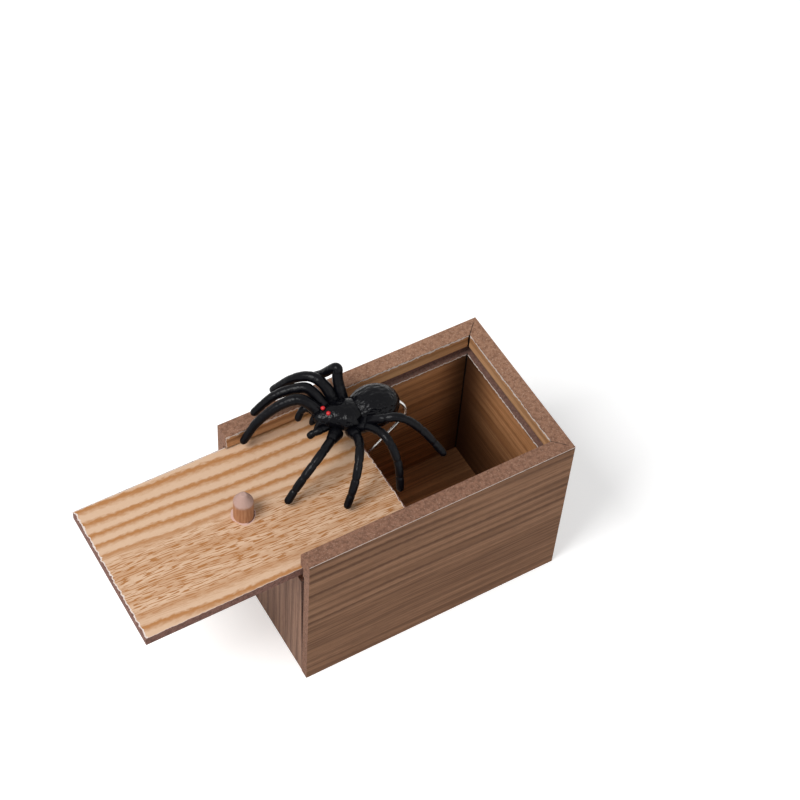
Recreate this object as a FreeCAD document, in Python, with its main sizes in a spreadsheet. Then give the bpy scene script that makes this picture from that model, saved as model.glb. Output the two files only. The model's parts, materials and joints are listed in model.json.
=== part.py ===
import FreeCAD, Part
import math
import os
import re
import Sketcher
from FreeCAD import Placement, Rotation, Vector

# A wooden prank box with a sliding lid. A rubber spider rides on a torsion spring under the lid:
# drawing the lid out lets it flip up over the lid's inner end, and closing the lid tucks it inside.
# Millimetres, +Z up. The origin is the middle of the box's underside, the lid is drawn out towards -X.

SIZES = {
    "box_length": 120.0,
    "box_width": 76.0,
    "box_height": 82.5,
    "wall_thickness": 7.0,
    "floor_thickness": 4.2,
    "rim_height": 7.2,
    "groove_depth": 2.0,
    "front_thickness": 6.5,
    "front_setback": 0.2,
    "front_side_gap": 0.3,
    "front_top_gap": 6.6,
    "front_taper": 2.3,
    "rebate_width": 3.0,
    "lid_thickness": 4.2,
    "lid_play": 0.8,
    "lid_rest_gap": 0.1,
    "lid_side_play": 0.8,
    "lid_end_play": 0.5,
    "lid_kept_in": 49.0,
    "knob_diameter": 8.0,
    "knob_height": 14.0,
    "knob_taper": 4.4,
    "knob_flat": 2.6,
    "knob_softening": 1.0,
    "wire_diameter": 1.3,
    "coil_radius": 3.0,
    "coil_turns": 3.0,
    "coil_pitch": 2.0,
    "coil_setback": 7.6,
    "coil_drop": 5.9,
    "arm_offset": 5.8,
    "arm_slope": 43.0,
    "arm_length": 36.0,
    "leg_slope": 35.0,
    "leg_run": 15.0,
    "wire_bend": 5.0,
    "wire_gap": 0.3,
    "wire_reach": 6.6,
    "wire_lift": 4.0,
    "staple_wire": 1.2,
    "staple_bend": 1.0,
    "staple_bite": 3.0,
    "staple_room": 1.9,
    "spider_setback": 7.0,
    "spider_wall_room": 19.0,
    "spider_stance": 18.4,
    "carapace_width": 14.6,
    "carapace_height": 11.0,
    "carapace_back": 8.6,
    "head_reach": 11.0,
    "head_turn": 3.6,
    "abdomen_length": 22.8,
    "abdomen_width": 18.4,
    "abdomen_height": 17.2,
    "abdomen_back": 13.4,
    "abdomen_fall": 2.0,
    "eye_diameter": 2.2,
    "eye_spacing": 3.2,
    "eye_skew": 0.7,
    "eye_shift": 2.7,
    "eye_reach": 6.4,
    "eye_lift": 4.1,
    "fang_length": 6.2,
    "fang_width": 3.4,
    "fang_reach": 10.2,
    "fang_shift": 3.2,
    "fang_drop": 2.0,
    "fang_tilt": 60.0,
    "fang_gap": 0.4,
    "leg_root": 1.75,
    "leg_thick": 2.05,
    "leg_tip": 1.55,
    "palp_thick": 1.7,
    "palp_tip": 1.3,
}

# Where the boards stand, in terms of the sizes above.
FRONT = "(-box_length / 2)"
BACK = "(box_length / 2)"
BACK_INNER = "(box_length / 2 - wall_thickness)"
HALF_WIDTH = "(box_width / 2)"
HALF_INNER = "(box_width / 2 - wall_thickness)"
GROOVE_TOP = "(box_height - rim_height)"
GROOVE_FLOOR = "(box_height - rim_height - lid_thickness - lid_play)"
FRONT_PANEL = "(-box_length / 2 + front_setback)"

# Shut, the lid reaches from the front ends of the side walls into the back wall's groove. It stands
# drawn out, with only the stretch at its inner end kept in the box.
LID_LENGTH = "(box_length - wall_thickness + groove_depth - lid_end_play)"
LID_WIDTH = "(box_width - 2 * wall_thickness + 2 * groove_depth - 2 * lid_side_play)"
LID_UNDER = f"({GROOVE_FLOOR} + lid_rest_gap)"
LID_TOP = f"({LID_UNDER} + lid_thickness)"
LID_END = f"({FRONT} + lid_kept_in)"
LID_MIDDLE = f"({LID_END} - {LID_LENGTH} / 2)"

# The coil's axis lies across the box, and the spider's carapace is placed from the lid it stands on.
COIL_X = f"({LID_END} - coil_setback)"
COIL_Z = f"({LID_UNDER} - coil_drop)"
SPIDER_X = f"({LID_END} - spider_setback)"
SPIDER_Y = f"({HALF_INNER} - spider_wall_room)"
SPIDER_Z = f"({LID_TOP} + spider_stance)"
ABDOMEN_X = f"({SPIDER_X} + abdomen_back)"
ABDOMEN_Z = f"({SPIDER_Z} - abdomen_fall)"
ARM_SIDE = f"({SPIDER_Y} - arm_offset)"

# Each leg bends at these stations, measured back, across and up from the middle of the carapace.
# Its hip angle runs round the carapace from the head. The spider's own left is towards -Y.
LEGS = {
    "left_leg_1": (42, [(-15.5, -11.5, -0.5), (-24, -14.6, -5), (-30, -15.5, -12), (-34, -16.5, -16.4)]),
    "left_leg_2": (100, [(-0.8, -14, 0.5), (-5, -21.5, 0.3), (-9.5, -26.6, -6.5), (-14.5, -29.5, -16.4)]),
    "left_leg_3": (118, [(6.3, -12, 2.4), (8, -20.5, 4), (9.2, -27.5, -4), (8, -32.5, -16)]),
    "left_leg_4": (138, [(9, -12, 6.4), (16, -17, 8.6), (23, -22, 2), (30, -29.5, -10)]),
    "right_leg_1": (38, [(-12, 10.6, 5), (-19.5, 14.4, 2.6), (-28.8, 16.5, -5), (-36.4, 16.2, -14.6)]),
    "right_leg_2": (64, [(-7, 13.2, 5), (-11.5, 17, 5), (-20, 20.5, 1), (-29, 22, -7)]),
    "right_leg_3": (95, [(-1.2, 11.5, 5.5), (-4.8, 17.2, 8.2), (-10.4, 22.4, 4.4), (-17.5, 27.5, -5)]),
    "right_leg_4": (125, [(3.8, 11.4, 7), (4.5, 14, 12), (0.7, 18, 6.2), (-2.9, 21.7, 2)]),
}
HIP_REACH = 0.72
HIP_DROP = 3.5

# The two feelers beside the fangs, with stations measured as for the legs.
PALPS = [
    [(-7, -0.4, -2), (-10.9, -1.1, -1.5), (-13.6, -0.4, -2.5), (-15.8, -0.2, -4.2)],
    [(-7.5, 4.5, -1), (-10.2, 9.1, 0.2), (-12.4, 10.6, -1), (-15, 10.2, -6)],
]

# Cross-sections of the cephalothorax from the head to the waist: how far along it each lies, its share
# of the full half width and half height, and its share of the head's turn towards +Y. The abdomen's
# sections follow its length.
THORAX_SECTIONS = [
    (0.0, 0.25, 0.28, 1.0),
    (0.07, 0.45, 0.52, 0.88),
    (0.25, 0.66, 0.78, 0.56),
    (0.48, 0.95, 0.98, 0.16),
    (0.71, 1.0, 0.95, 0.0),
    (0.89, 0.72, 0.72, 0.0),
    (1.0, 0.36, 0.40, 0.0),
]
ABDOMEN_SHARES = [0.02, 0.08, 0.2, 0.35, 0.5, 0.65, 0.8, 0.92, 0.98]
FANG_SECTIONS = [(0.0, 0.6), (0.25, 0.95), (0.5, 1.0), (0.75, 0.75), (0.94, 0.42), (1.0, 0.22)]

LEG_SEGMENTS = 5
JOINT_NIP = 0.88
SEGMENT_SWELL = 1.05
TIP_SECTIONS = [(0.965, 0.9), (1.0, 0.45)]

doc = FreeCAD.newDocument("SpiderBox")
sheet = doc.addObject("Spreadsheet::Sheet", "Sizes")
for row, (alias, number) in enumerate(SIZES.items(), start=1):
    sheet.set(f"A{row}", alias)
    sheet.set(f"B{row}", str(number))
    sheet.setAlias(f"B{row}", alias)
doc.recompute()


def bound(text):
    """Return the text with every size's name pointed at its cell in the sheet."""
    return re.sub(r"[a-z_]+", lambda found: f"Sizes.{found.group()}", text)


def value(text):
    """Return what an expression of sizes comes to."""
    return float(sheet.evalExpression(bound(text)))


def bind(piece, prop, text):
    """Tie one property of a piece to the sheet."""
    piece.setExpression(prop, bound(text))


def place(piece, across_x, across_y, up):
    """Tie a piece's position to the sheet."""
    for axis, text in zip("xyz", (across_x, across_y, up)):
        bind(piece, f"Placement.Base.{axis}", text)


# Sketched pieces: boards, lid and knob

def new_body(label):
    """Start a sketched body under its own label."""
    made = doc.addObject("PartDesign::Body", label)
    made.Label = label
    return made


def origin_feature(body, role):
    """Return the plane or axis of a body's origin that has this role."""
    return next(item for item in body.Origin.OriginFeatures if item.Role == role)


def new_sketch(body, name, role):
    """Attach an empty sketch to one of the body's own origin planes."""
    sketch = body.newObject("Sketcher::SketchObject", name)
    sketch.AttachmentSupport = [(origin_feature(body, role), "")]
    sketch.MapMode = "FlatFace"
    return sketch


def set_datum(sketch, kind, place_of_point, text):
    """Hold a point of a sketch at a distance from the sketch's origin that the sheet gives."""
    geometry, point = place_of_point
    datum = sketch.addConstraint(Sketcher.Constraint(kind, -1, 1, geometry, point, value(text)))
    sketch.setExpression(f"Constraints[{datum}]", bound(text))


def outline(body, name, role, corners):
    """Draw a closed outline of straight edges with every corner tied to the sheet."""
    sketch = new_sketch(body, name, role)
    points = [Vector(value(across), value(up), 0) for across, up in corners]
    for index, start in enumerate(points):
        end = points[(index + 1) % len(points)]
        sketch.addGeometry(Part.LineSegment(start, end), False)
    for index, (across, up) in enumerate(corners):
        before = (index - 1) % len(corners)
        sketch.addConstraint(Sketcher.Constraint("Coincident", before, 2, index, 1))
        set_datum(sketch, "DistanceX", (index, 1), across)
        set_datum(sketch, "DistanceY", (index, 1), up)
    return sketch


def circles(body, name, role, centres, radius):
    """Draw equal circles with their centres and radius tied to the sheet."""
    sketch = new_sketch(body, name, role)
    for index, (across, up) in enumerate(centres):
        middle = Vector(value(across), value(up), 0)
        sketch.addGeometry(Part.Circle(middle, Vector(0, 0, 1), value(radius)), False)
        set_datum(sketch, "DistanceX", (index, 3), across)
        set_datum(sketch, "DistanceY", (index, 3), up)
        datum = sketch.addConstraint(Sketcher.Constraint("Radius", index, value(radius)))
        sketch.setExpression(f"Constraints[{datum}]", bound(radius))
    return sketch


def pad(body, sketch, height):
    """Raise a sketch into a solid of the height that the sheet gives."""
    feature = body.newObject("PartDesign::Pad", sketch.Name + "_pad")
    feature.Profile = sketch
    bind(feature, "Length", height)
    doc.recompute()
    return feature


def cut_through(body, sketch):
    """Cut a sketch right through a body, both ways."""
    before = body.Shape.Volume
    feature = body.newObject("PartDesign::Pocket", sketch.Name + "_cut")
    feature.Profile = sketch
    feature.Type = "ThroughAll"
    feature.Midplane = True
    doc.recompute()
    if not body.Shape.Volume < before:
        raise RuntimeError(f"{feature.Name} cut nothing")


def sink_up(body, sketch, depth):
    """Sink holes or a rebate upwards from the plane of a sketch."""
    before = body.Shape.Volume
    feature = body.newObject("PartDesign::Pocket", sketch.Name + "_sunk")
    feature.Profile = sketch
    feature.Reversed = True
    bind(feature, "Length", depth)
    doc.recompute()
    if not body.Shape.Volume < before:
        raise RuntimeError(f"{feature.Name} cut nothing")


def side_wall(label, side):
    """Make a side wall, grooved for the lid, rebated at the front and mitred at the back.

    The side is -1 or 1 along Y.
    """
    wall = new_body(label)
    outer = f"{side} * {HALF_WIDTH}"
    inner = f"{side} * {HALF_INNER}"
    groove = f"{side} * ({HALF_INNER} + groove_depth)"
    plan = [(FRONT, outer), (BACK, outer), (BACK_INNER, inner), (FRONT, inner)]
    pad(wall, outline(wall, label + "_plan", "XY_Plane", plan), "box_height")
    section = [(inner, GROOVE_FLOOR), (groove, GROOVE_FLOOR), (groove, GROOVE_TOP), (inner, GROOVE_TOP)]
    cut_through(wall, outline(wall, label + "_groove", "YZ_Plane", section))
    rebated = f"{side} * ({HALF_INNER} + rebate_width)"
    shoulder = f"({FRONT_PANEL} + front_thickness)"
    rebate = [(FRONT, inner), (shoulder, inner), (shoulder, rebated), (FRONT, rebated)]
    sink_up(wall, outline(wall, label + "_rebate", "XY_Plane", rebate), GROOVE_FLOOR)
    return wall


def back_wall():
    """Make the back wall, mitred at both ends, with the groove that takes the lid's inner end."""
    wall = new_body("back_wall")
    plan = [
        (BACK, f"-{HALF_WIDTH}"),
        (BACK, HALF_WIDTH),
        (BACK_INNER, HALF_INNER),
        (BACK_INNER, f"-{HALF_INNER}"),
    ]
    pad(wall, outline(wall, "back_plan", "XY_Plane", plan), "box_height")
    groove = f"({BACK_INNER} + groove_depth)"
    section = [
        (BACK_INNER, GROOVE_FLOOR),
        (groove, GROOVE_FLOOR),
        (groove, GROOVE_TOP),
        (BACK_INNER, GROOVE_TOP),
    ]
    cut_through(wall, outline(wall, "back_groove", "XZ_Plane", section))
    return wall


def front_panel():
    """Make the low front board, seated in the side walls' rebates and narrower at its top."""
    panel = new_body("front_panel")
    half_foot = f"({HALF_INNER} + rebate_width - front_side_gap)"
    half_top = f"({half_foot} - front_taper)"
    top = f"({GROOVE_FLOOR} - front_top_gap)"
    face = [(f"-{half_foot}", "0"), (half_foot, "0"), (half_top, top), (f"-{half_top}", top)]
    pad(panel, outline(panel, "front_face", "YZ_Plane", face), "front_thickness")
    place(panel, FRONT_PANEL, "0", "0")
    return panel


def floor_panel():
    """Make the floor board that lies between the walls, level with their undersides."""
    panel = doc.addObject("Part::Box", "floor_panel")
    start = f"({FRONT_PANEL} + front_thickness)"
    bind(panel, "Length", f"{BACK_INNER} - {start}")
    bind(panel, "Width", f"2 * {HALF_INNER}")
    bind(panel, "Height", "floor_thickness")
    place(panel, start, f"-{HALF_INNER}", "0")
    return panel


def lid_panel(staple_feet):
    """Make the lid, with the knob's hole at its middle and holes for the staples' points below."""
    lid = new_body("lid_panel")
    half_length = f"({LID_LENGTH} / 2)"
    half_width = f"({LID_WIDTH} / 2)"
    plan = [
        (f"-{half_length}", f"-{half_width}"),
        (half_length, f"-{half_width}"),
        (half_length, half_width),
        (f"-{half_length}", half_width),
    ]
    pad(lid, outline(lid, "lid_plan", "XY_Plane", plan), "lid_thickness")
    cut_through(lid, circles(lid, "knob_hole", "XY_Plane", [("0", "0")], "knob_diameter / 2"))
    sink_up(lid, circles(lid, "staple_feet", "XY_Plane", staple_feet, "staple_wire / 2"), "staple_bite")
    place(lid, LID_MIDDLE, "0", LID_UNDER)
    return lid


def lid_knob():
    """Turn the dowel knob, which fills its hole and has a tapered, softened top."""
    knob = new_body("lid_knob")
    radius = "(knob_diameter / 2)"
    top = "(lid_thickness + knob_height)"
    profile = [
        ("0", "0"),
        (radius, "0"),
        (radius, f"{top} - knob_taper"),
        ("knob_flat / 2", top),
        ("0", top),
    ]
    sketch = outline(knob, "knob_profile", "XZ_Plane", profile)
    turned = knob.newObject("PartDesign::Revolution", "knob_turned")
    turned.Profile = sketch
    turned.ReferenceAxis = (sketch, ["V_Axis"])
    turned.Angle = 360
    doc.recompute()
    shoulder = value(f"{top} - knob_taper") - 0.01
    rings = [
        f"Edge{index}"
        for index, edge in enumerate(turned.Shape.Edges, start=1)
        if edge.Closed and edge.BoundBox.ZMin > shoulder
    ]
    softened = knob.newObject("PartDesign::Fillet", "knob_softened")
    softened.Base = (turned, rings)
    bind(softened, "Radius", "knob_softening")
    doc.recompute()
    place(knob, LID_MIDDLE, "0", LID_UNDER)
    return knob


# Bent wire: the torsion spring and its staples

def half_arc(start, heading, end):
    """Return the arc that leaves start along heading and ends at end."""
    chord = end - start
    turn = heading.getAngle(chord)
    if turn < 1e-6:
        return Part.LineSegment(start, end)
    inward = heading - chord * (heading.dot(chord) / chord.dot(chord))
    sagitta = chord.Length / 2 * math.tan(turn / 2)
    return Part.Arc(start, start + chord / 2 + inward.normalize() * sagitta, end)


def biarc(start, heading, end, leaving):
    """Return two arcs that join two points with the directions given at each."""
    chord = end - start
    both = heading + leaving
    slope = chord.dot(both)
    bulge = 2 * (1 - heading.dot(leaving))
    reach = (math.sqrt(slope * slope + bulge * chord.dot(chord)) - slope) / bulge
    middle = (start + heading * reach + end - leaving * reach) / 2
    second = half_arc(end, leaving * -1, middle)
    return [half_arc(start, heading, middle), second]


def rounded_corner(before, corner, after, radius):
    """Return where a bend of this radius leaves and rejoins the two runs at a corner, and its arc."""
    back = (before - corner).normalize()
    ahead = (after - corner).normalize()
    trim = radius / math.tan(back.getAngle(ahead) / 2)
    start = corner + back * trim
    end = corner + ahead * trim
    return start, half_arc(start, back * -1, end), end


def wire_solid(curves, diameter):
    """Sweep a round wire along joined lines and arcs, and compare its volume with its length."""
    path = Part.Wire(Part.__sortEdges__([curve.toShape() for curve in curves]))
    first = curves[0]
    heading = (first.EndPoint - first.StartPoint).normalize()
    ring = Part.Wire(Part.Circle(first.StartPoint, heading, diameter / 2).toShape())
    solid = path.makePipeShell([ring], True, False)
    expected = math.pi * diameter ** 2 / 4 * path.Length
    if abs(solid.Volume - expected) > 0.02 * expected:
        raise RuntimeError(f"wire volume {solid.Volume:.1f}, expected {expected:.1f}")
    return solid, path


def coil_point(angle, across):
    """Return a point on the coil's middle line, by its angle from +X towards +Z."""
    reach = value("coil_radius")
    return Vector(value(COIL_X) + reach * math.cos(angle), across, value(COIL_Z) + reach * math.sin(angle))


def spring_route():
    """Return the torsion spring's corners and coil: fixed leg, turns, arm and the end in the abdomen."""
    leg_slope = math.radians(value("leg_slope"))
    arm_slope = math.radians(value("arm_slope"))
    first = math.atan2(-math.cos(leg_slope), -math.sin(leg_slope))
    last = math.atan2(-math.cos(arm_slope), math.sin(arm_slope)) + 2 * math.pi * value("coil_turns")
    length = value("coil_pitch") * (last - first) / (2 * math.pi)
    leg_side = value(ARM_SIDE) - length
    quarters = math.ceil((last - first) / (math.pi / 2))
    turns = []
    headings = []
    for step in range(quarters + 1):
        share = step / quarters
        angle = first + share * (last - first)
        rise = 0 if step in (0, quarters) else length / (last - first) / value("coil_radius")
        turns.append(coil_point(angle, leg_side + share * length))
        headings.append(Vector(-math.sin(angle), rise, math.cos(angle)).normalize())
    seat = value(LID_UNDER) - value("wire_diameter") / 2 - value("lid_rest_gap")
    knee_run = (seat - turns[0].z) / math.tan(leg_slope)
    knee = Vector(turns[0].x - knee_run, leg_side, seat)
    tail = knee - Vector(value("leg_run"), 0, 0)
    bend = turns[-1] + headings[-1] * value("arm_length")
    tip_x = value(f"{ABDOMEN_X} + wire_reach")
    tip = Vector(tip_x, value(SPIDER_Y), value(f"{ABDOMEN_Z} + wire_lift"))
    return tail, knee, turns, headings, bend, tip


def torsion_spring():
    """Wind the spring from one length of wire, and print the least gap between its turns."""
    tail, knee, turns, headings, bend, tip = spring_route()
    radius = value("wire_bend")
    knee_in, knee_arc, knee_out = rounded_corner(tail, knee, turns[0], radius)
    bend_in, bend_arc, bend_out = rounded_corner(turns[-1], bend, tip, radius)
    curves = [Part.LineSegment(tail, knee_in), knee_arc, Part.LineSegment(knee_out, turns[0])]
    for step in range(len(turns) - 1):
        curves += biarc(turns[step], headings[step], turns[step + 1], headings[step + 1])
    curves += [Part.LineSegment(turns[-1], bend_in), bend_arc, Part.LineSegment(bend_out, tip)]
    solid, path = wire_solid(curves, value("wire_diameter"))
    print(f"torsion_spring: {path.Length:.1f} mm of wire, least gap {least_gap(path):.2f} mm")
    return feature("torsion_spring", solid)


def least_gap(path):
    """Measure the least air between stretches of a wire that lie over half a turn apart."""
    spacing = 0.5
    points = path.discretize(Distance=spacing)
    apart = int(math.pi * value("coil_radius") / spacing)
    nearest = min(
        (points[one] - points[two]).Length
        for one in range(len(points))
        for two in range(one + apart, len(points))
    )
    return nearest - value("wire_diameter")


def staple(middle, half_width):
    """Bend one staple whose crown lies along Y through a point below the lid."""
    top = value(LID_UNDER) + value("staple_bite")
    side = Vector(0, half_width, 0)
    corners = [middle - side, middle + side]
    ends = [Vector(corner.x, corner.y, top) for corner in corners]
    radius = value("staple_bend")
    low_in, low_arc, low_out = rounded_corner(ends[0], corners[0], corners[1], radius)
    far_in, far_arc, far_out = rounded_corner(corners[0], corners[1], ends[1], radius)
    curves = [
        Part.LineSegment(ends[0], low_in),
        low_arc,
        Part.LineSegment(low_out, far_in),
        far_arc,
        Part.LineSegment(far_out, ends[1]),
    ]
    return wire_solid(curves, value("staple_wire"))[0]


def staple_places():
    """Return the middle and half width of the coil's staple and of the two on the fixed leg."""
    tail, knee, turns, *_ = spring_route()
    room = value("staple_room")
    coil_half = (turns[-1].y - turns[0].y) / 2 + room
    coil_middle = Vector(value(COIL_X), (turns[0].y + turns[-1].y) / 2, value(COIL_Z))
    under_wire = (value("wire_diameter") + value("staple_wire")) / 2
    run = (knee - tail) / 4
    lower = Vector(0, 0, -under_wire)
    leg_middles = [tail + run + lower, knee - run + lower]
    return (coil_middle, coil_half), [(middle, room) for middle in leg_middles]


def staple_feet():
    """Return where the staples' points enter the lid, from its middle."""
    coil, legs = staple_places()
    feet = []
    for middle, half in [coil] + legs:
        along = f"{middle.x:.4f} - {LID_MIDDLE}"
        feet += [(along, f"{middle.y + side * half:.4f}") for side in (-1, 1)]
    return feet


# Moulded rubber: the spider

def feature(label, shape):
    """Keep a finished shape under its own label."""
    made = doc.addObject("Part::Feature", label)
    made.Label = label
    made.Shape = shape
    made.Placement = Placement()
    return made


def moulded(sections, half_width, half_height):
    """Loft a rounded body through upright ovals, each given by its centre and shares of the full size."""
    rings = []
    for centre, wide, high in sections:
        side = centre + Vector(0, wide * half_width, 0)
        top = centre + Vector(0, 0, high * half_height)
        rings.append(Part.Wire(Part.Ellipse(side, top, centre).toShape()))
    return Part.makeLoft(rings, True, False)


def cephalothorax():
    """Mould the carapace and head in one."""
    length = value("head_reach") + value("carapace_back")
    sections = []
    for share, wide, high, turned in THORAX_SECTIONS:
        along = share * length - value("head_reach")
        sections.append((spider_point((along, turned * value("head_turn"), 0)), wide, high))
    shape = moulded(sections, value("carapace_width") / 2, value("carapace_height") / 2)
    return feature("spider_cephalothorax", shape)


def abdomen(thorax):
    """Mould the abdomen against the carapace, with the hole that takes the spring's end."""
    middle = Vector(value(ABDOMEN_X), value(SPIDER_Y), value(ABDOMEN_Z))
    length = value("abdomen_length")
    sections = []
    for share in ABDOMEN_SHARES:
        full = math.sqrt(1 - (2 * share - 1) ** 2)
        sections.append((middle + Vector((share - 0.5) * length, 0, 0), full, full))
    egg = moulded(sections, value("abdomen_width") / 2, value("abdomen_height") / 2)
    *_, bend, tip = spring_route()
    outward = (bend - tip).normalize()
    hole_radius = value("wire_diameter") / 2 + value("wire_gap")
    hole = Part.makeCylinder(hole_radius, (bend - tip).Length, tip - outward * value("wire_gap"), outward)
    return feature("spider_abdomen", egg.cut(thorax.Shape).cut(hole))


def pair(label, pieces):
    """Keep several solids together under one label."""
    return feature(label, Part.makeCompound(pieces))


def eyes(thorax):
    """Make the two painted eyes that stand proud of the head."""
    domes = []
    for side in (-1, 1):
        ball = Part.makeSphere(value("eye_diameter") / 2)
        along = -value("eye_reach") - side * value("eye_skew") / 2
        across = value("eye_shift") + side * value("eye_spacing") / 2
        ball.translate(spider_point((along, across, value("eye_lift"))))
        domes.append(ball.cut(thorax.Shape))
    return pair("spider_eyes", domes)


def fangs(thorax):
    """Make the two fangs that hang from the front of the head."""
    tilt = math.radians(value("fang_tilt"))
    half_run = Vector(-math.cos(tilt), 0, -math.sin(tilt)) * (value("fang_length") / 2)
    half_width = value("fang_width") / 2
    sections = [(share, half_width * fullness) for share, fullness in FANG_SECTIONS]
    made = []
    for side in (-1, 1):
        across = value("fang_shift") + side * (half_width + value("fang_gap") / 2)
        middle = spider_point((-value("fang_reach"), across, -value("fang_drop")))
        made.append(tube([middle - half_run, middle + half_run], sections).cut(thorax.Shape))
    return pair("spider_fangs", made)


def spider_point(station):
    """Return a station measured from the middle of the carapace as a point of the part."""
    return Vector(value(SPIDER_X), value(SPIDER_Y), value(SPIDER_Z)) + Vector(*station)


def tube(points, sections):
    """Loft round sections along a smooth line, each given by its share of the line and its radius."""
    line = Part.BSplineCurve()
    line.interpolate(points)
    rings = []
    for share, radius in sections:
        at = line.FirstParameter + share * (line.LastParameter - line.FirstParameter)
        rings.append(Part.Wire(Part.Circle(line.value(at), line.tangent(at)[0], radius).toShape()))
    return Part.makeLoft(rings, True, False)


def limb(points, root, thick, tip):
    """Make a jointed limb, which swells in each segment and narrows at each joint."""
    rings = 2 * LEG_SEGMENTS
    sections = []
    for ring in range(rings):
        share = ring / rings
        full = min(root + (thick - root) * 4 * share, thick + (tip - thick) * share)
        sections.append((share, full * (SEGMENT_SWELL if ring % 2 else JOINT_NIP)))
    sections += [(share, tip * rounding) for share, rounding in TIP_SECTIONS]
    return tube(points, sections)


def trimmed(shape, neighbours):
    """Cut a limb back to where it meets its neighbours, and keep its outer piece."""
    for neighbour in neighbours:
        shape = shape.cut(neighbour.Shape)
    return max(shape.Solids, key=lambda solid: solid.Volume)


def hip(angle, side):
    """Return the inner end of a leg, inside the carapace at an angle round it from the head."""
    turn = math.radians(angle)
    along = -HIP_REACH * value("carapace_back") * math.cos(turn)
    across = side * HIP_REACH * value("carapace_width") / 2 * math.sin(turn)
    return spider_point((along, across, -HIP_DROP))


def legs(neighbours):
    """Make the eight legs, each ending where it meets the body, a fang, an eye or the leg before it."""
    made = []
    for label, (angle, stations) in LEGS.items():
        side = 1 if stations[0][1] > 0 else -1
        points = [hip(angle, side)] + [spider_point(station) for station in stations]
        shape = limb(points, value("leg_root"), value("leg_thick"), value("leg_tip"))
        made.append(feature(label, trimmed(shape, neighbours + made)))
    return made


def palps(neighbours):
    """Make the two feelers, ending where they meet the head, the fangs and the front legs."""
    made = []
    for stations in PALPS:
        points = [spider_point(station) for station in stations]
        shape = limb(points, value("palp_thick"), value("palp_thick"), value("palp_tip"))
        made.append(trimmed(shape, neighbours))
    return pair("spider_palps", made)


def check(piece):
    """Stop if a piece failed to build."""
    if {"Invalid", "Error"} & set(piece.State):
        raise RuntimeError(f"{piece.Label} failed: {piece.State}")


def main():
    """Build every piece, test it and write it out."""
    coil_place, leg_places = staple_places()
    pieces = [
        side_wall("left_wall", 1),
        side_wall("right_wall", -1),
        back_wall(),
        front_panel(),
        floor_panel(),
        lid_panel(staple_feet()),
        lid_knob(),
        feature("coil_staple", staple(*coil_place)),
        pair("leg_staples", [staple(*leg_place) for leg_place in leg_places]),
        torsion_spring(),
    ]
    thorax = cephalothorax()
    belly = abdomen(thorax)
    fang_pair = fangs(thorax)
    eye_pair = eyes(thorax)
    eight_legs = legs([thorax, belly, fang_pair, eye_pair])
    pieces += [thorax, belly, fang_pair, eye_pair, palps([thorax, fang_pair] + eight_legs)]
    pieces += eight_legs
    doc.recompute()
    for item in doc.Objects:
        check(item)
    os.makedirs("parts", exist_ok=True)
    for piece in pieces:
        if piece.Shape.isNull() or not piece.Shape.isValid():
            raise RuntimeError(f"{piece.Label} has no valid shape")
        piece.Shape.exportStep(f"parts/{piece.Label}.step")
        print(f"{piece.Label}: {len(piece.Shape.Solids)} solid(s), {piece.Shape.Volume:.1f} mm3")


main()
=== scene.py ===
"""A wooden prank box whose sliding lid flips a rubber spider up on a torsion spring."""

from __future__ import annotations

import json
import logging
import math
from dataclasses import asdict, dataclass, fields, replace
from enum import Enum, auto
from typing import Callable, NamedTuple, Sequence

import bpy
from mathutils import Matrix, Vector, noise

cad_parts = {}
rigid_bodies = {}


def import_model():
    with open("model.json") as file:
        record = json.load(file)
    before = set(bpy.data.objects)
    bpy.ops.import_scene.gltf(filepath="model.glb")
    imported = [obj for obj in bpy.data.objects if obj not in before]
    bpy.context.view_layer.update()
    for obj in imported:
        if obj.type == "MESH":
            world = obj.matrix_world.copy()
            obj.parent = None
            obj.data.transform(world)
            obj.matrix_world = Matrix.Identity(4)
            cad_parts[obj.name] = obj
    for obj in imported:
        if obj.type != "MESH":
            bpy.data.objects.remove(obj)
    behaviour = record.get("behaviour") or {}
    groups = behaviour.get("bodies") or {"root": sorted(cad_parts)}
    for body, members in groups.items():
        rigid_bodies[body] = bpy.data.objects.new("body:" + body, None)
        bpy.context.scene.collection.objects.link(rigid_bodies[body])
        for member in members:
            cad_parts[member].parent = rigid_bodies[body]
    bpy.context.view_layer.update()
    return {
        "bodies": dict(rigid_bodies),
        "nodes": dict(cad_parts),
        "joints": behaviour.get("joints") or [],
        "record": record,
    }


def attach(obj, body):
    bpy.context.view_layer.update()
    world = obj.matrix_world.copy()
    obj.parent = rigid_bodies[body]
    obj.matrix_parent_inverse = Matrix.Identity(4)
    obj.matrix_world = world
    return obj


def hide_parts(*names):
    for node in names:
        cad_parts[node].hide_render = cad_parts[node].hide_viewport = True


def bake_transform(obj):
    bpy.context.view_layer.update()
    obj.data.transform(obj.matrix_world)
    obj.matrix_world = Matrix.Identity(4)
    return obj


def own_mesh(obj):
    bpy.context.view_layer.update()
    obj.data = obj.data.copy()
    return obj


LOG = logging.getLogger("spider_box")
MM = 0.001
NOISE_MIDDLE = 0.5

Colour = tuple[float, float, float, float]
Point = tuple[float, float, float]
Span = tuple[float, float]
Material = bpy.types.Material
Piece = bpy.types.Object
Socket = bpy.types.NodeSocket


def srgb(red: int, green: int, blue: int) -> Colour:
    """Turn a screen colour into the linear one that shaders take.

    Args:
        red: Red from 0 to 255.
        green: Green from 0 to 255.
        blue: Blue from 0 to 255.

    Returns:
        The linear colour, opaque.
    """

    def linear(level: int) -> float:
        """Return one channel's linear share."""
        share = level / 255
        return share / 12.92 if share <= 0.04045 else ((share + 0.055) / 1.055) ** 2.4

    return (linear(red), linear(green), linear(blue), 1.0)


class Axis(Enum):
    """The three directions of the row frame."""

    X = 0
    Y = 1
    Z = 2


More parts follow.
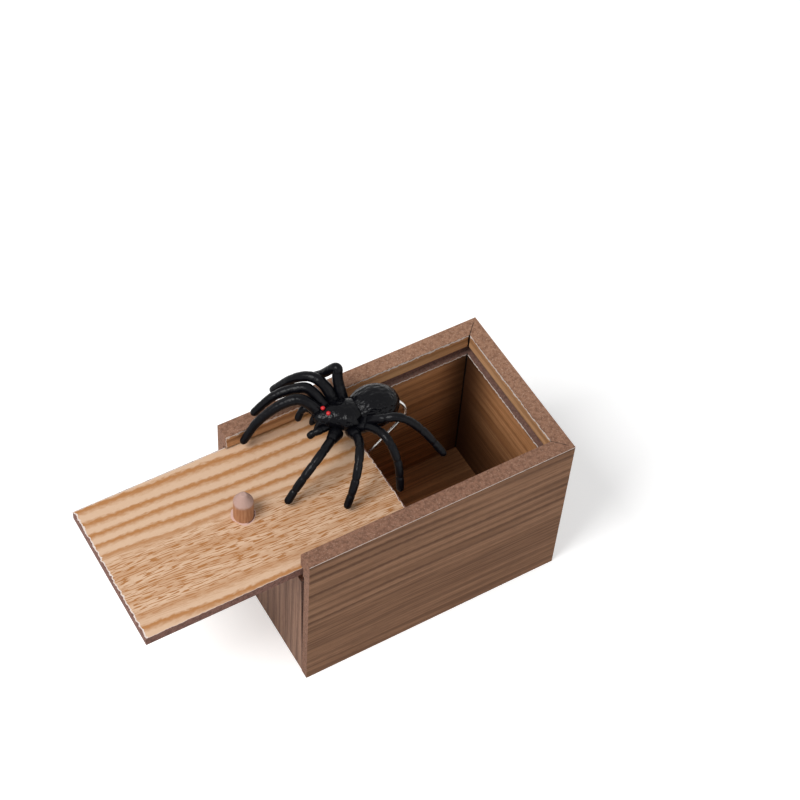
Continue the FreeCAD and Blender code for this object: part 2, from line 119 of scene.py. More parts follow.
class Cover(Enum):
    """What can cover a face of a board, in the order of a board's finishes."""

    OUTER = auto()
    INNER = auto()
    CUT = auto()
    GROOVE = auto()
    STRIP = auto()
    REBATE = auto()


class NodeMaker:
    """Adds nodes to one tree and joins them."""

    def __init__(self, tree: bpy.types.NodeTree) -> None:
        """Take the tree that the nodes go into."""
        self.tree = tree

    def join(self, source: object, target: Socket) -> None:
        """Link a socket to an input, or set the input to a constant.

        Args:
            source: A socket or a constant.
            target: The input.
        """
        if isinstance(source, Socket):
            self.tree.links.new(source, target)
        else:
            target.default_value = source

    def node(self, kind: str, **inputs: object) -> bpy.types.Node:
        """Add a node and join its inputs.

        Args:
            kind: The node's type.
            inputs: Sockets or constants by the inputs' names, with underscores for spaces.

        Returns:
            The node.
        """
        made = self.tree.nodes.new(kind)
        for name, source in inputs.items():
            self.join(source, made.inputs[name.replace("_", " ")])
        return made

    def math(self, operation: str, first: object, second: object = 0.0) -> Socket:
        """Return the result of one sum.

        Args:
            operation: The Math node's operation.
            first: A socket or a number.
            second: A socket or a number.

        Returns:
            The node's output.
        """
        made = self.node("ShaderNodeMath")
        made.operation = operation
        for source, target in zip((first, second), made.inputs):
            self.join(source, target)
        return made.outputs[0]

    def add(self, first: object, second: object) -> Socket:
        """Return the sum of two sockets or numbers."""
        return self.math("ADD", first, second)

    def minus(self, first: object, second: object) -> Socket:
        """Return the first socket or number less the second."""
        return self.math("SUBTRACT", first, second)

    def times(self, first: object, second: object) -> Socket:
        """Return the product of two sockets or numbers."""
        return self.math("MULTIPLY", first, second)

    def seen_plainly(self) -> Socket:
        """Find the rays that show a background.

        Returns:
            1 for a ray from the camera, a mirror or glass, and 0 for any other.
        """
        rays = self.node("ShaderNodeLightPath").outputs
        straight = self.math("MAXIMUM", rays["Is Camera Ray"], rays["Is Glossy Ray"])
        return self.math("MAXIMUM", straight, rays["Is Transmission Ray"])


class Shader(NodeMaker):
    """Builds the nodes of one material on Object coordinates."""

    MIX_INPUTS = (0, 6, 7)
    MIX_OUTPUT = 2

    def __init__(self, name: str) -> None:
        """Start a material with its surface shader and its coordinates.

        Args:
            name: The material's name.
        """
        self.material = bpy.data.materials.new(name)
        self.material.use_nodes = True
        super().__init__(self.material.node_tree)
        self.surface = self.tree.nodes["Principled BSDF"]
        self.place = self.node("ShaderNodeTexCoord").outputs["Object"]
        self.axes = list(self.node("ShaderNodeSeparateXYZ", Vector=self.place).outputs)

    def at(self, axis: Axis) -> Socket:
        """Return the place along one axis."""
        return self.axes[axis.value]

    def vector(self, x: object, y: object, z: object) -> Socket:
        """Return a vector made from three sockets or numbers."""
        return self.node("ShaderNodeCombineXYZ", X=x, Y=y, Z=z).outputs[0]

    def noise(self, place: object, scale: float, detail: float) -> Socket:
        """Return a cloudy value round 0.5, with so many clouds in a unit and finer layers."""
        node = self.node("ShaderNodeTexNoise", Vector=place, Scale=scale, Detail=detail)
        return node.outputs["Fac"]

    def between(self, value: object, span: Span) -> Socket:
        """Return how far a value is from one level to another, as a smooth step.

        Args:
            value: A socket or a number.
            span: The levels at which the step starts and ends.

        Returns:
            A value from 0 to 1.
        """
        node = self.node("ShaderNodeMapRange")
        node.interpolation_type = "SMOOTHSTEP"
        for name, source in zip(("Value", "From Min", "From Max"), (value, *span)):
            self.join(source, node.inputs[name])
        return node.outputs["Result"]

    def mix(self, share: object, first: object, second: object) -> Socket:
        """Return a colour between two.

        Args:
            share: How much of the second colour shows.
            first: A socket or a colour.
            second: A socket or a colour.

        Returns:
            The mixed colour.
        """
        node = self.node("ShaderNodeMix")
        node.data_type = "RGBA"
        for number, source in zip(self.MIX_INPUTS, (share, first, second)):
            self.join(source, node.inputs[number])
        return node.outputs[self.MIX_OUTPUT]

    def bump(self, height: object, depth: float) -> None:
        """Raise the surface's shading by a height of this depth in metres."""
        node = self.node("ShaderNodeBump", Distance=depth, Height=height)
        self.join(node.outputs[0], self.surface.inputs["Normal"])

    def finish(
        self, colour: object, roughness: float, metallic: float = 0.0, gloss: float = 0.5
    ) -> Material:
        """Set the surface and hand over its material.

        Args:
            colour: A socket or a colour.
            roughness: From 0, a mirror, to 1, chalk.
            metallic: 1 for metal.
            gloss: The level of the highlights, 0.5 for most things.

        Returns:
            The material.
        """
        self.join(colour, self.surface.inputs["Base Color"])
        self.join(roughness, self.surface.inputs["Roughness"])
        self.join(metallic, self.surface.inputs["Metallic"])
        self.join(gloss, self.surface.inputs["Specular IOR Level"])
        return self.material


@dataclass(frozen=True)
class Clouds:
    """Cloudy noise of one size, and the levels between which it sets in."""

    scale: float
    detail: float
    levels: Span = (0.0, 1.0)

    def value(self, shader: Shader, place: Socket) -> Socket:
        """Return the plain noise at a place."""
        return shader.noise(place, self.scale, self.detail)

    def over(self, shader: Shader, place: Socket) -> Socket:
        """Return how thick the clouds are at a place, from 0 to 1."""
        return shader.between(self.value(shader, place), self.levels)


class GrainLines(NamedTuple):
    """Where a spot lies among the printed lines, and how much of a stripe it has."""

    along: Socket
    sloped: Socket
    clear: Socket
    stripe: Socket


@dataclass(frozen=True)
class Streaks:
    """Noise drawn out along a grain, and the levels between which it sets in."""

    along: float
    across: float
    seed: float = 0.0
    levels: Span = (0.0, 1.0)
    detail: float = 2.0

    def value(self, shader: Shader, along: Socket, across: Socket) -> Socket:
        """Return the plain noise at a place along and across the grain."""
        stretched = (shader.times(along, self.along), shader.times(across, self.across))
        return shader.noise(shader.vector(*stretched, self.seed), 1.0, self.detail)

    def over(self, shader: Shader, lines: GrainLines) -> Socket:
        """Return how strong the streaks are along the printed lines, from 0 to 1."""
        return shader.between(self.value(shader, lines.along, lines.clear), self.levels)


@dataclass(frozen=True)
class PaperEdge:
    """One edge of a sheet of paper: bare board shows beside it, then the paper's torn core."""

    axis: Axis
    at: float
    torn: float
    white: float
    frayed: float
    core: Colour = srgb(226, 213, 205)
    soft: float = 0.12 * MM

    def over(self, shader: Shader, rag: Socket, bare: Socket, printed: Socket) -> Socket:
        """Lay the edge over the print.

        Args:
            shader: The material in hand.
            rag: The noise that frays the edge.
            bare: The board's colour.
            printed: The colour so far.

        Returns:
            The colour with the torn core and the bare board.
        """
        distance = shader.math("ABSOLUTE", shader.minus(shader.at(self.axis), self.at))
        fray = shader.times(shader.minus(rag, NOISE_MIDDLE), self.frayed)
        ragged = shader.add(distance, fray)
        width = self.torn + self.white
        cored = shader.mix(shader.between(ragged, (width, width + self.soft)), self.core, printed)
        if not self.torn:
            return cored
        return shader.mix(shader.between(ragged, (self.torn, self.torn + self.soft)), bare, cored)


class Inks(NamedTuple):
    """The three colours of a printed wood grain."""

    pale: Colour
    middle: Colour
    dark: Colour


@dataclass(frozen=True)
class Fibreboard:
    """Bare cut fibreboard with its speckle of fibres."""

    name: str
    colour: Colour
    dark: Colour
    pale: Colour
    cloud: Clouds = Clouds(700.0, 4.0, (0.30, 0.66))
    fleck: Clouds = Clouds(1700.0, 2.0, (0.50, 0.84))
    grit: Clouds = Clouds(1500.0, 3.0)
    grit_depth: float = 0.25 * MM
    roughness: float = 0.92

    def tint(self, shader: Shader) -> Socket:
        """Return the board's colour in a material."""
        base = shader.mix(self.cloud.over(shader, shader.place), self.dark, self.colour)
        return shader.mix(self.fleck.over(shader, shader.place), base, self.pale)

    def material(self) -> Material:
        """Make the finish.

        Returns:
            The material.
        """
        shader = Shader(self.name)
        shader.bump(self.grit.value(shader, shader.place), self.grit_depth)
        return shader.finish(self.tint(shader), self.roughness)


@dataclass(frozen=True)
class MitredRim(Fibreboard):
    """The rim's bare top, paler to the back, with the mitres open at its inner back corners."""

    mitre_offset: float = 22.0 * MM
    seam: Span = (0.22 * MM, 0.484 * MM)
    seam_end: Span = (35.0 * MM, 37.0 * MM)
    wander: Clouds = Clouds(700.0, 2.0)
    wander_width: float = 0.3 * MM
    crack: Colour = srgb(38, 22, 16)
    # Paler board that the rim turns to towards the back.
    faded: Fibreboard = Fibreboard(
        "paler_back_fibreboard", srgb(170, 128, 101), srgb(138, 99, 76), srgb(198, 162, 138)
    )
    paler_lean: float = 0.6
    fade: Span = (-40.0 * MM, 60.0 * MM)
    paler_share: float = 0.7

    def tint(self, shader: Shader) -> Socket:
        """Colour the rim.

        Args:
            shader: The material in hand.

        Returns:
            The board's colour with its seams.
        """
        board = super().tint(shader)
        ahead, aside = shader.at(Axis.X), shader.at(Axis.Y)
        across = shader.math("ABSOLUTE", aside)
        off = shader.add(shader.minus(across, ahead), self.mitre_offset)
        wander = shader.times(self.wander.value(shader, shader.place), self.wander_width)
        closed = shader.between(shader.add(shader.math("ABSOLUTE", off), wander), self.seam)
        whole = shader.math("MAXIMUM", closed, shader.between(across, self.seam_end))
        lean = shader.add(aside, shader.times(ahead, self.paler_lean))
        back = shader.times(shader.between(lean, self.fade), self.paler_share)
        return shader.mix(whole, self.crack, shader.mix(back, board, self.faded.tint(shader)))


@dataclass(frozen=True)
class PaintedShade:
    """Painted shade: a brown darkening that fades over a sheet of paper, from where it is full to
    where it is gone.
    """

    axis: Axis
    full: float
    gone: float
    share: float
    colour: Colour = srgb(56, 31, 16)

    def over(self, shader: Shader, printed: Socket) -> Socket:
        """Return the print's colour with the painted shade over it."""
        depth = shader.between(shader.at(self.axis), (self.gone, self.full))
        return shader.mix(shader.times(depth, self.share), printed, self.colour)


@dataclass(frozen=True)
class GrainPaper:
    """Paper printed with wood grain, glued over the boards and torn along its edges."""

    name: str
    along: Axis
    across: Axis
    inks: Inks
    board: Fibreboard
    edges: tuple[PaperEdge, ...] = ()
    stains: tuple[PaintedShade, ...] = ()
    line_spacing: float = 4.9 * MM
    slope: float = 0.0
    rise: Span = (0.30, 0.72)
    fall: Span = (1.0, 0.78)
    drift: Streaks = Streaks(9.0, 9.0, detail=1.0)
    drift_width: float = 4.0 * MM
    fuzz: Streaks = Streaks(380.0, 950.0)
    fuzz_width: float = 1.4 * MM
    striped: float = 0.85
    uneven: Streaks = Streaks(9.0, 170.0, 5.0, (0.24, 0.58))
    broad: Streaks = Streaks(10.0, 110.0, 3.0, (0.30, 0.60))
    fine_band: Span = (20.0 * MM, 42.0 * MM)
    fine: Streaks = Streaks(22.0, 1000.0, 7.0, (0.44, 0.60))
    fine_share: float = 0.65
    fine_drop: float = 0.40
    band_light: float = 0.25
    lower_stripes: float = 0.6
    pores: Streaks = Streaks(150.0, 2000.0, 1.0, (0.52, 0.70))
    pore_share: float = 0.35
    rag: Clouds = Clouds(520.0, 4.0)
    tooth: Clouds = Clouds(900.0, 2.0)
    tooth_depth: float = 0.06 * MM
    roughness: float = 0.62
    gloss: float = 0.12

    def lines(self, shader: Shader) -> GrainLines:
        """Lay out the printed lines.

        Args:
            shader: The material in hand.

        Returns:
            Where each spot lies among them.
        """
        along, across = shader.at(self.along), shader.at(self.across)
        sloped = shader.add(across, shader.times(along, self.slope))
        drift = self.drift.value(shader, along, sloped)
        clear = shader.add(sloped, shader.times(drift, self.drift_width))
        fuzz = self.fuzz.value(shader, along, across)
        fuzzy = shader.add(clear, shader.times(fuzz, self.fuzz_width))
        part = shader.math("FRACT", shader.math("DIVIDE", fuzzy, self.line_spacing))
        stripe = shader.times(shader.between(part, self.rise), shader.between(part, self.fall))
        return GrainLines(along, sloped, clear, stripe)

    def tint(self, shader: Shader) -> Socket:
        """Colour the print: soft stripes, a band of fine lines, and pores over both.

        Args:
            shader: The material in hand.

        Returns:
            The printed grain's colour.
        """
        pale, middle, dark = self.inks
        lines = self.lines(shader)
        low, high = self.fine_band
        soft = (high - low) / 4
        above = shader.between(lines.clear, (high - soft, high))
        below = shader.times(shader.between(lines.clear, (low + soft, low)), self.lower_stripes)
        plain = shader.math("MAXIMUM", above, below)
        light = shader.add(shader.times(plain, 1.0 - self.band_light), self.band_light)
        ground = shader.mix(shader.times(self.broad.over(shader, lines), light), middle, pale)
        uneven = shader.times(self.uneven.over(shader, lines), plain)
        stripes = shader.times(lines.stripe, shader.times(uneven, self.striped))
        banded = shader.mix(stripes, ground, dark)
        fill = shader.minus(self.fine_share, shader.times(plain, self.fine_drop))
        lined = shader.mix(shader.times(self.fine.over(shader, lines), fill), banded, dark)
        pores = shader.times(self.pores.over(shader, lines), self.pore_share)
        return shader.mix(pores, lined, dark)

    def material(self) -> Material:
        """Make the finish: the print, then the painted shade, then the torn edges.

        Returns:
            The material.
        """
        shader = Shader(self.name)
        shader.bump(self.tooth.value(shader, shader.place), self.tooth_depth)
        colour = self.tint(shader)
        for painted_shade in self.stains:
            colour = painted_shade.over(shader, colour)
        rag = self.rag.value(shader, shader.place)
        bare = self.board.tint(shader)
        for edge in self.edges:
            colour = edge.over(shader, rag, bare, colour)
        return shader.finish(colour, self.roughness, gloss=self.gloss)


@dataclass(frozen=True)
class TornHole:
    """The hole drilled for the knob: torn paper round it and chipped board on its inner side."""

    place: tuple[float, float] = (-68.25 * MM, 0.0)
    torn: float = 4.7 * MM
    soft: float = 0.2 * MM
    rag: Clouds = Clouds(330.0, 3.0)
    ragged: float = 2.6 * MM
    chip_side: Span = (3.0 * MM, 4.5 * MM)
    chip_depth: Span = (0.1 * MM, 0.5 * MM)
    paper: Colour = srgb(206, 172, 160)
    chip: Colour = srgb(98, 62, 50)

    def over(self, shader: Shader, printed: Socket) -> Socket:
        """Lay the torn ring over the print.

        Args:
            shader: The material in hand.
            printed: The print's colour.

        Returns:
            The colour with the ring.
        """
        ahead = shader.minus(shader.at(Axis.X), self.place[0])
        aside = shader.minus(shader.at(Axis.Y), self.place[1])
        squared = shader.add(shader.times(ahead, ahead), shader.times(aside, aside))
        rag = shader.minus(self.rag.value(shader, shader.place), NOISE_MIDDLE)
        ragged = shader.add(shader.math("SQRT", squared), shader.times(rag, self.ragged))
        outside = shader.between(ragged, (self.torn, self.torn + self.soft))
        ring = shader.mix(outside, self.paper, printed)
        inner = shader.between(shader.minus(ahead, aside), self.chip_side)
        shallow, deep = self.chip_depth
        close = shader.between(ragged, (self.torn - shallow, self.torn - deep))
        return shader.mix(shader.times(inner, close), ring, self.chip)


@dataclass(frozen=True)
class StripedPaper(GrainPaper):
    """The lid's paler paper: broad shaded stripes, with a band of short dashes between them."""

    line_spacing: float = 5.9 * MM
    slope: float = 0.06
    rise: Span = (0.24, 0.74)
    fall: Span = (1.0, 0.76)
    drift: Streaks = Streaks(13.5, 45.0, detail=1.0)
    drift_width: float = 6.0 * MM
    fuzz_width: float = 2.4 * MM
    gloss: float = 0.5
    band_start: Span = (3.5 * MM, -6.5 * MM)
    band_end: Span = (-35.0 * MM, -26.0 * MM)
    calm_share: float = 0.75
    rows: Streaks = Streaks(30.0, 330.0, 5.0, (0.40, 0.66), 1.0)
    row_share: float = 0.5
    dashes: Streaks = Streaks(210.0, 2300.0, 2.0, (0.53, 0.60), 0.0)
    dash_share: float = 0.95
    hole: TornHole = TornHole()

    def tint(self, shader: Shader) -> Socket:
        """Colour the print: soft straight stripes, fine broken dashes, and the torn hole.

        Args:
            shader: The material in hand.

        Returns:
            The printed grain's colour.
        """
        pale, middle, dark = self.inks
        lines = self.lines(shader)
        started = shader.between(lines.sloped, self.band_start)
        band = shader.times(started, shader.between(lines.sloped, self.band_end))
        striped = shader.mix(lines.stripe, pale, middle)
        calm = shader.mix(shader.times(band, self.calm_share), striped, pale)
        rows = shader.times(self.rows.over(shader, lines), shader.times(band, self.row_share))
        rowed = shader.mix(rows, calm, middle)
        dashes = shader.times(self.dashes.over(shader, lines), shader.times(band, self.dash_share))
        return self.hole.over(shader, shader.mix(dashes, rowed, dark))


@dataclass(frozen=True)
class BareDowel:
    """Sanded dowel with fine upright grain and a paler worn top."""

    name: str = "bare_dowel"
    colour: Colour = srgb(186, 136, 100)
    dark: Colour = srgb(160, 110, 75)
    worn: Colour = srgb(178, 146, 135)
    worn_height: Span = (84.0 * MM, 86.5 * MM)
    wander: Clouds = Clouds(420.0, 3.0)
    wander_height: float = 3.0 * MM
    grain: Clouds = Clouds(1300.0, 3.0, (0.36, 0.70))
    grain_stretch: float = 0.08
    grain_depth: float = 0.12 * MM
    roughness: float = 0.8

    def material(self) -> Material:
        """Make the finish.

        Returns:
            The material.
        """
        shader = Shader(self.name)
        ahead, aside, up = shader.axes
        stretched = shader.vector(ahead, aside, shader.times(up, self.grain_stretch))
        shader.bump(self.grain.value(shader, stretched), self.grain_depth)
        grained = shader.mix(self.grain.over(shader, stretched), self.dark, self.colour)
        wander = shader.times(self.wander.value(shader, shader.place), self.wander_height)
        worn = shader.between(shader.add(up, wander), self.worn_height)
        return shader.finish(shader.mix(worn, grained, self.worn), self.roughness)


@dataclass(frozen=True)
class PlainFinish:
    """One colour all over, such as bright steel wire or thick paint."""

    name: str
    colour: Colour
    roughness: float
    metallic: float = 0.0

    def material(self) -> Material:
        """Return the finish as a material."""
        return Shader(self.name).finish(self.colour, self.roughness, self.metallic)


@dataclass(frozen=True)
class MouldedRubber:
    """Black moulded rubber with a satin skin and fine wrinkles along one direction."""

    name: str
    wrinkle_stretch: Point
    wrinkle: Clouds
    wrinkle_depth: float
    roughness: float = 0.2
    pores: Clouds = Clouds(2600.0, 2.0)
    pore_share: float = 0.04
    colour: Colour = srgb(6, 6, 10)
    gloss: float = 0.12

    def material(self) -> Material:
        """Make the finish.

        Returns:
            The material.
        """
        shader = Shader(self.name)
        parts = [shader.times(axis, by) for axis, by in zip(shader.axes, self.wrinkle_stretch)]
        wrinkle = self.wrinkle.value(shader, shader.vector(*parts))
        pores = shader.times(self.pores.value(shader, shader.place), self.pore_share)
        shader.bump(shader.add(wrinkle, pores), self.wrinkle_depth)
        return shader.finish(self.colour, self.roughness, gloss=self.gloss)


def paint(
    node: Piece, finishes: dict[Cover, Material], pick: Callable[[Vector, Vector], Cover]
) -> None:
    """Give each face of a CAD node one of several finishes.

    Args:
        node: The CAD node.
        finishes: The node's finishes, by what they are on it.
        pick: Takes a face's middle and normal, and returns what covers it.
    """
    covers = [cover for cover in Cover if cover in finishes]
    node.data.materials.clear()
    for cover in covers:
        node.data.materials.append(finishes[cover])
    for face in node.data.polygons:
        face.material_index = covers.index(pick(face.center, face.normal))
    LOG.info("%s: %d finishes", node.name, len(covers))


def coat(node: Piece, finish: Material) -> None:
    """Give a whole CAD node one finish."""
    paint(node, {Cover.OUTER: finish}, lambda _middle, _normal: Cover.OUTER)


def place_mesh(name: str, mesh: bpy.types.Mesh) -> Piece:
    """Put a mesh into the scene at the origin.

    Args:
        name: The piece's name.
        mesh: Its mesh.

    Returns:
        The piece.
    """
    made = bpy.data.objects.new(name, mesh)
    bpy.context.scene.collection.objects.link(made)
    return made


def smooth_piece(
    name: str, points: Sequence[Vector], faces: Sequence[tuple], materials: Sequence[Material]
) -> Piece:
    """Make a smooth mesh object at the origin.

    Args:
        name: The piece's name.
        points: Its points in metres.
        faces: Its faces, as the numbers of their points.
        materials: Its finishes; all faces take the first.

    Returns:
        The piece.
    """
    mesh = bpy.data.meshes.new(name)
    mesh.from_pydata([tuple(point) for point in points], [], faces)
    mesh.polygons.foreach_set("use_smooth", [True] * len(mesh.polygons))
    for material in materials:
        mesh.materials.append(material)
    mesh.update()
    return place_mesh(name, mesh)


def round_body(
    name: str, rings: Sequence[Sequence[Vector]], ends: Sequence[Vector], finish: Material
) -> Piece:
    """Skin closed rings of points and close both ends on a point.

    Args:
        name: The piece's name.
        rings: Rings of equal length, from one end to the other.
        ends: The two end points.
        finish: The body's material.

    Returns:
        A closed smooth mesh object at the origin.
    """
    count = len(rings[0])
    points = [point for ring in rings for point in ring] + list(ends)
    first, last = len(points) - 2, len(points) - 1
    top = (len(rings) - 1) * count
    turns = [(step, (step + 1) % count) for step in range(count)]
    faces: list[tuple[int, ...]] = []
    for near in range(0, top, count):
        far = near + count
        faces += [(near + step, far + step, far + ahead, near + ahead) for step, ahead in turns]
    faces += [(first, step, ahead) for step, ahead in turns]
    faces += [(last, top + ahead, top + step) for step, ahead in turns]
    return smooth_piece(name, points, faces, [finish])


def ball_rings(rows: int, sides: int) -> list[list[Vector]]:
    """Place rings of points on a ball of radius 1, from -X to +X, without its poles.

    Args:
        rows: How many steps there are from pole to pole.
        sides: How many points a ring has.

    Returns:
        The rings.
    """
    turns = [2 * math.pi * step / sides for step in range(sides)]
    rings = []
    for row in range(1, rows):
        along, out = -math.cos(math.pi * row / rows), math.sin(math.pi * row / rows)
        ring = [(along, out * math.cos(turn), out * math.sin(turn)) for turn in turns]
        rings.append([Vector(place) for place in ring])
    return rings


def joined(name: str, pieces: Sequence[Piece]) -> Piece:
    """Make one mesh object of several, and remove them.

    Args:
        name: The new piece's name.
        pieces: Mesh objects at the origin.

    Returns:
        The joined object.
    """
    points: list[Vector] = []
    faces: list[tuple[int, ...]] = []
    materials = list(pieces[0].data.materials)
    for piece in pieces:
        start = len(points)
        points += [vertex.co.copy() for vertex in piece.data.vertices]
        for face in piece.data.polygons:
            faces.append(tuple(start + corner for corner in face.vertices))
        bpy.data.objects.remove(piece)
    return smooth_piece(name, points, faces, materials)


def smooth_line(stations: Sequence[Vector], steps: int) -> list[Vector]:
    """Pass a smooth line through stations.

    Args:
        stations: The points to pass through.
        steps: How many points to make between two stations.

    Returns:
        The line's points.
    """
    padded = [stations[0] * 2 - stations[1], *stations, stations[-1] * 2 - stations[-2]]
    line = []
    for before, start, end, after in zip(padded, padded[1:], padded[2:], padded[3:]):
        leave = (end - before) / 2
        arrive = (after - start) / 2
        for step in range(steps):
            share = step / steps
            line.append(
                start * (2 * share**3 - 3 * share**2 + 1)
                + leave * (share**3 - 2 * share**2 + share)
                + end * (3 * share**2 - 2 * share**3)
                + arrive * (share**3 - share**2)
            )
    return [*line, stations[-1]]


@dataclass(frozen=True)
class TubeSizes:
    """The sizes of one tube, in metres or as shares; each is an input of the tube's tree."""

    root_radius: float
    tip_radius: float
    tip_share: float
    steps: int
    sides: int
    joints: int = 1
    joint_depth: float = 0.0
    lump_height: float = 0.0
    hip_swell: float = 0.0


class TubeTree(NodeMaker):
    """A Geometry Nodes tree that skins a line as a jointed, tapering tube."""

    JOINT_SHARPNESS = 14.0
    TIP_LIMIT = 0.995
    HIP_SHARE = 0.2
    LUMP_SCALE = 420.0
    LUMP_DETAIL = 2.0

    def __init__(self) -> None:
        """Build the tree with its named inputs."""
        super().__init__(bpy.data.node_groups.new("tube_along_line", "GeometryNodeTree"))
        self.sockets: dict[str, str] = {}
        geometry = "NodeSocketGeometry"
        self.add_socket("geometry", geometry)
        for size in fields(TubeSizes):
            whole = size.type == "int"
            self.add_socket(size.name, "NodeSocketInt" if whole else "NodeSocketFloat")
        self.add_socket("material", "NodeSocketMaterial")
        self.tree.interface.new_socket("Geometry", in_out="OUTPUT", socket_type=geometry)
        self.given = self.node("NodeGroupInput")
        self.build()

    def add_socket(self, name: str, kind: str) -> None:
        """Add a named input and keep its identifier.

        Args:
            name: The input's name in small letters, with underscores for spaces.
            kind: The socket's type.
        """
        title = name.replace("_", " ").title()
        made = self.tree.interface.new_socket(title, in_out="INPUT", socket_type=kind)
        self.sockets[name] = made.identifier

    def radius(self, share: Socket) -> Socket:
        """Shape the tube along its line: a taper with nipped joints and a rounded tip.

        Args:
            share: How far along the line, from 0 to 1.

        Returns:
            The radius in metres.
        """
        given = self.given.outputs
        fall = self.minus(given["Tip Radius"], given["Root Radius"])
        taper = self.add(given["Root Radius"], self.times(fall, share))
        phase = self.math("FRACT", self.times(share, given["Joints"]))
        off_joint = self.math("MINIMUM", phase, self.minus(1.0, phase))
        sharp = self.math("POWER", self.minus(1.0, off_joint), self.JOINT_SHARPNESS)
        nip = self.minus(1.0, self.times(sharp, given["Joint Depth"]))
        start = self.minus(1.0, given["Tip Share"])
        over = self.math("DIVIDE", self.minus(share, start), given["Tip Share"])
        capped = self.math("MINIMUM", self.math("MAXIMUM", over, 0.0), self.TIP_LIMIT)
        rounding = self.math("SQRT", self.minus(1.0, self.times(capped, capped)))
        from_hip = self.math("DIVIDE", share, self.HIP_SHARE)
        near_hip = self.math("MAXIMUM", self.minus(1.0, from_hip), 0.0)
        swell = self.add(1.0, self.times(near_hip, given["Hip Swell"]))
        return self.times(self.times(self.times(taper, swell), nip), rounding)

    def build(self) -> None:
        """Skin the line, roughen it and give it its finish."""
        given = self.given.outputs
        line = self.node(
            "GeometryNodeResampleCurve", Curve=given["Geometry"], Count=given["Steps"]
        )
        share = self.node("GeometryNodeSplineParameter").outputs["Factor"]
        ring = self.node("GeometryNodeCurvePrimitiveCircle", Resolution=given["Sides"], Radius=1.0)
        skin = self.node(
            "GeometryNodeCurveToMesh",
            Curve=line.outputs[0],
            Profile_Curve=ring.outputs[0],
            Scale=self.radius(share),
            Fill_Caps=True,
        )
        lump = self.node("ShaderNodeTexNoise", Scale=self.LUMP_SCALE, Detail=self.LUMP_DETAIL)
        level = self.minus(lump.outputs["Fac"], NOISE_MIDDLE)
        push = self.node("ShaderNodeVectorMath")
        push.operation = "SCALE"
        self.join(self.node("GeometryNodeInputNormal").outputs[0], push.inputs[0])
        self.join(self.times(level, given["Lump Height"]), push.inputs["Scale"])
        made = self.node(
            "GeometryNodeSetPosition", Geometry=skin.outputs[0], Offset=push.outputs[0]
        )
        for kind in ("GeometryNodeSetShadeSmooth", "GeometryNodeRealizeInstances"):
            made = self.node(kind, Geometry=made.outputs[0])
        made = self.node(
            "GeometryNodeSetMaterial", Geometry=made.outputs[0], Material=given["Material"]
        )
        self.node("NodeGroupOutput", Geometry=made.outputs[0])

    def tube(
        self, name: str, points: Sequence[Vector], finish: Material, sizes: TubeSizes
    ) -> Piece:
        """Skin one line.

        Args:
            name: The piece's name.
            points: The line's points in metres, close together.
            finish: The tube's material.
            sizes: The tube's sizes.

        Returns:
            A plain mesh object at the origin.
        """
        line = bpy.data.curves.new(name + "_line", "CURVE")
        line.dimensions = "3D"
        spline = line.splines.new("POLY")
        spline.points.add(len(points) - 1)
        for target, point in zip(spline.points, points):
            target.co = (*point, 1.0)
        carrier = bpy.data.objects.new(name + "_line", line)
        bpy.context.scene.collection.objects.link(carrier)
        modifier = carrier.modifiers.new("tube", "NODES")
        modifier.node_group = self.tree
        modifier[self.sockets["material"]] = finish
        for size, number in asdict(sizes).items():
            modifier[self.sockets[size]] = number
        bpy.context.view_layer.update()
        ready = carrier.evaluated_get(bpy.context.evaluated_depsgraph_get())
        mesh = bpy.data.meshes.new_from_object(ready)
        mesh.name = name
        carrier.modifiers.clear()
        bpy.data.objects.remove(carrier)
        bpy.data.curves.remove(line)
        return place_mesh(name, mesh)


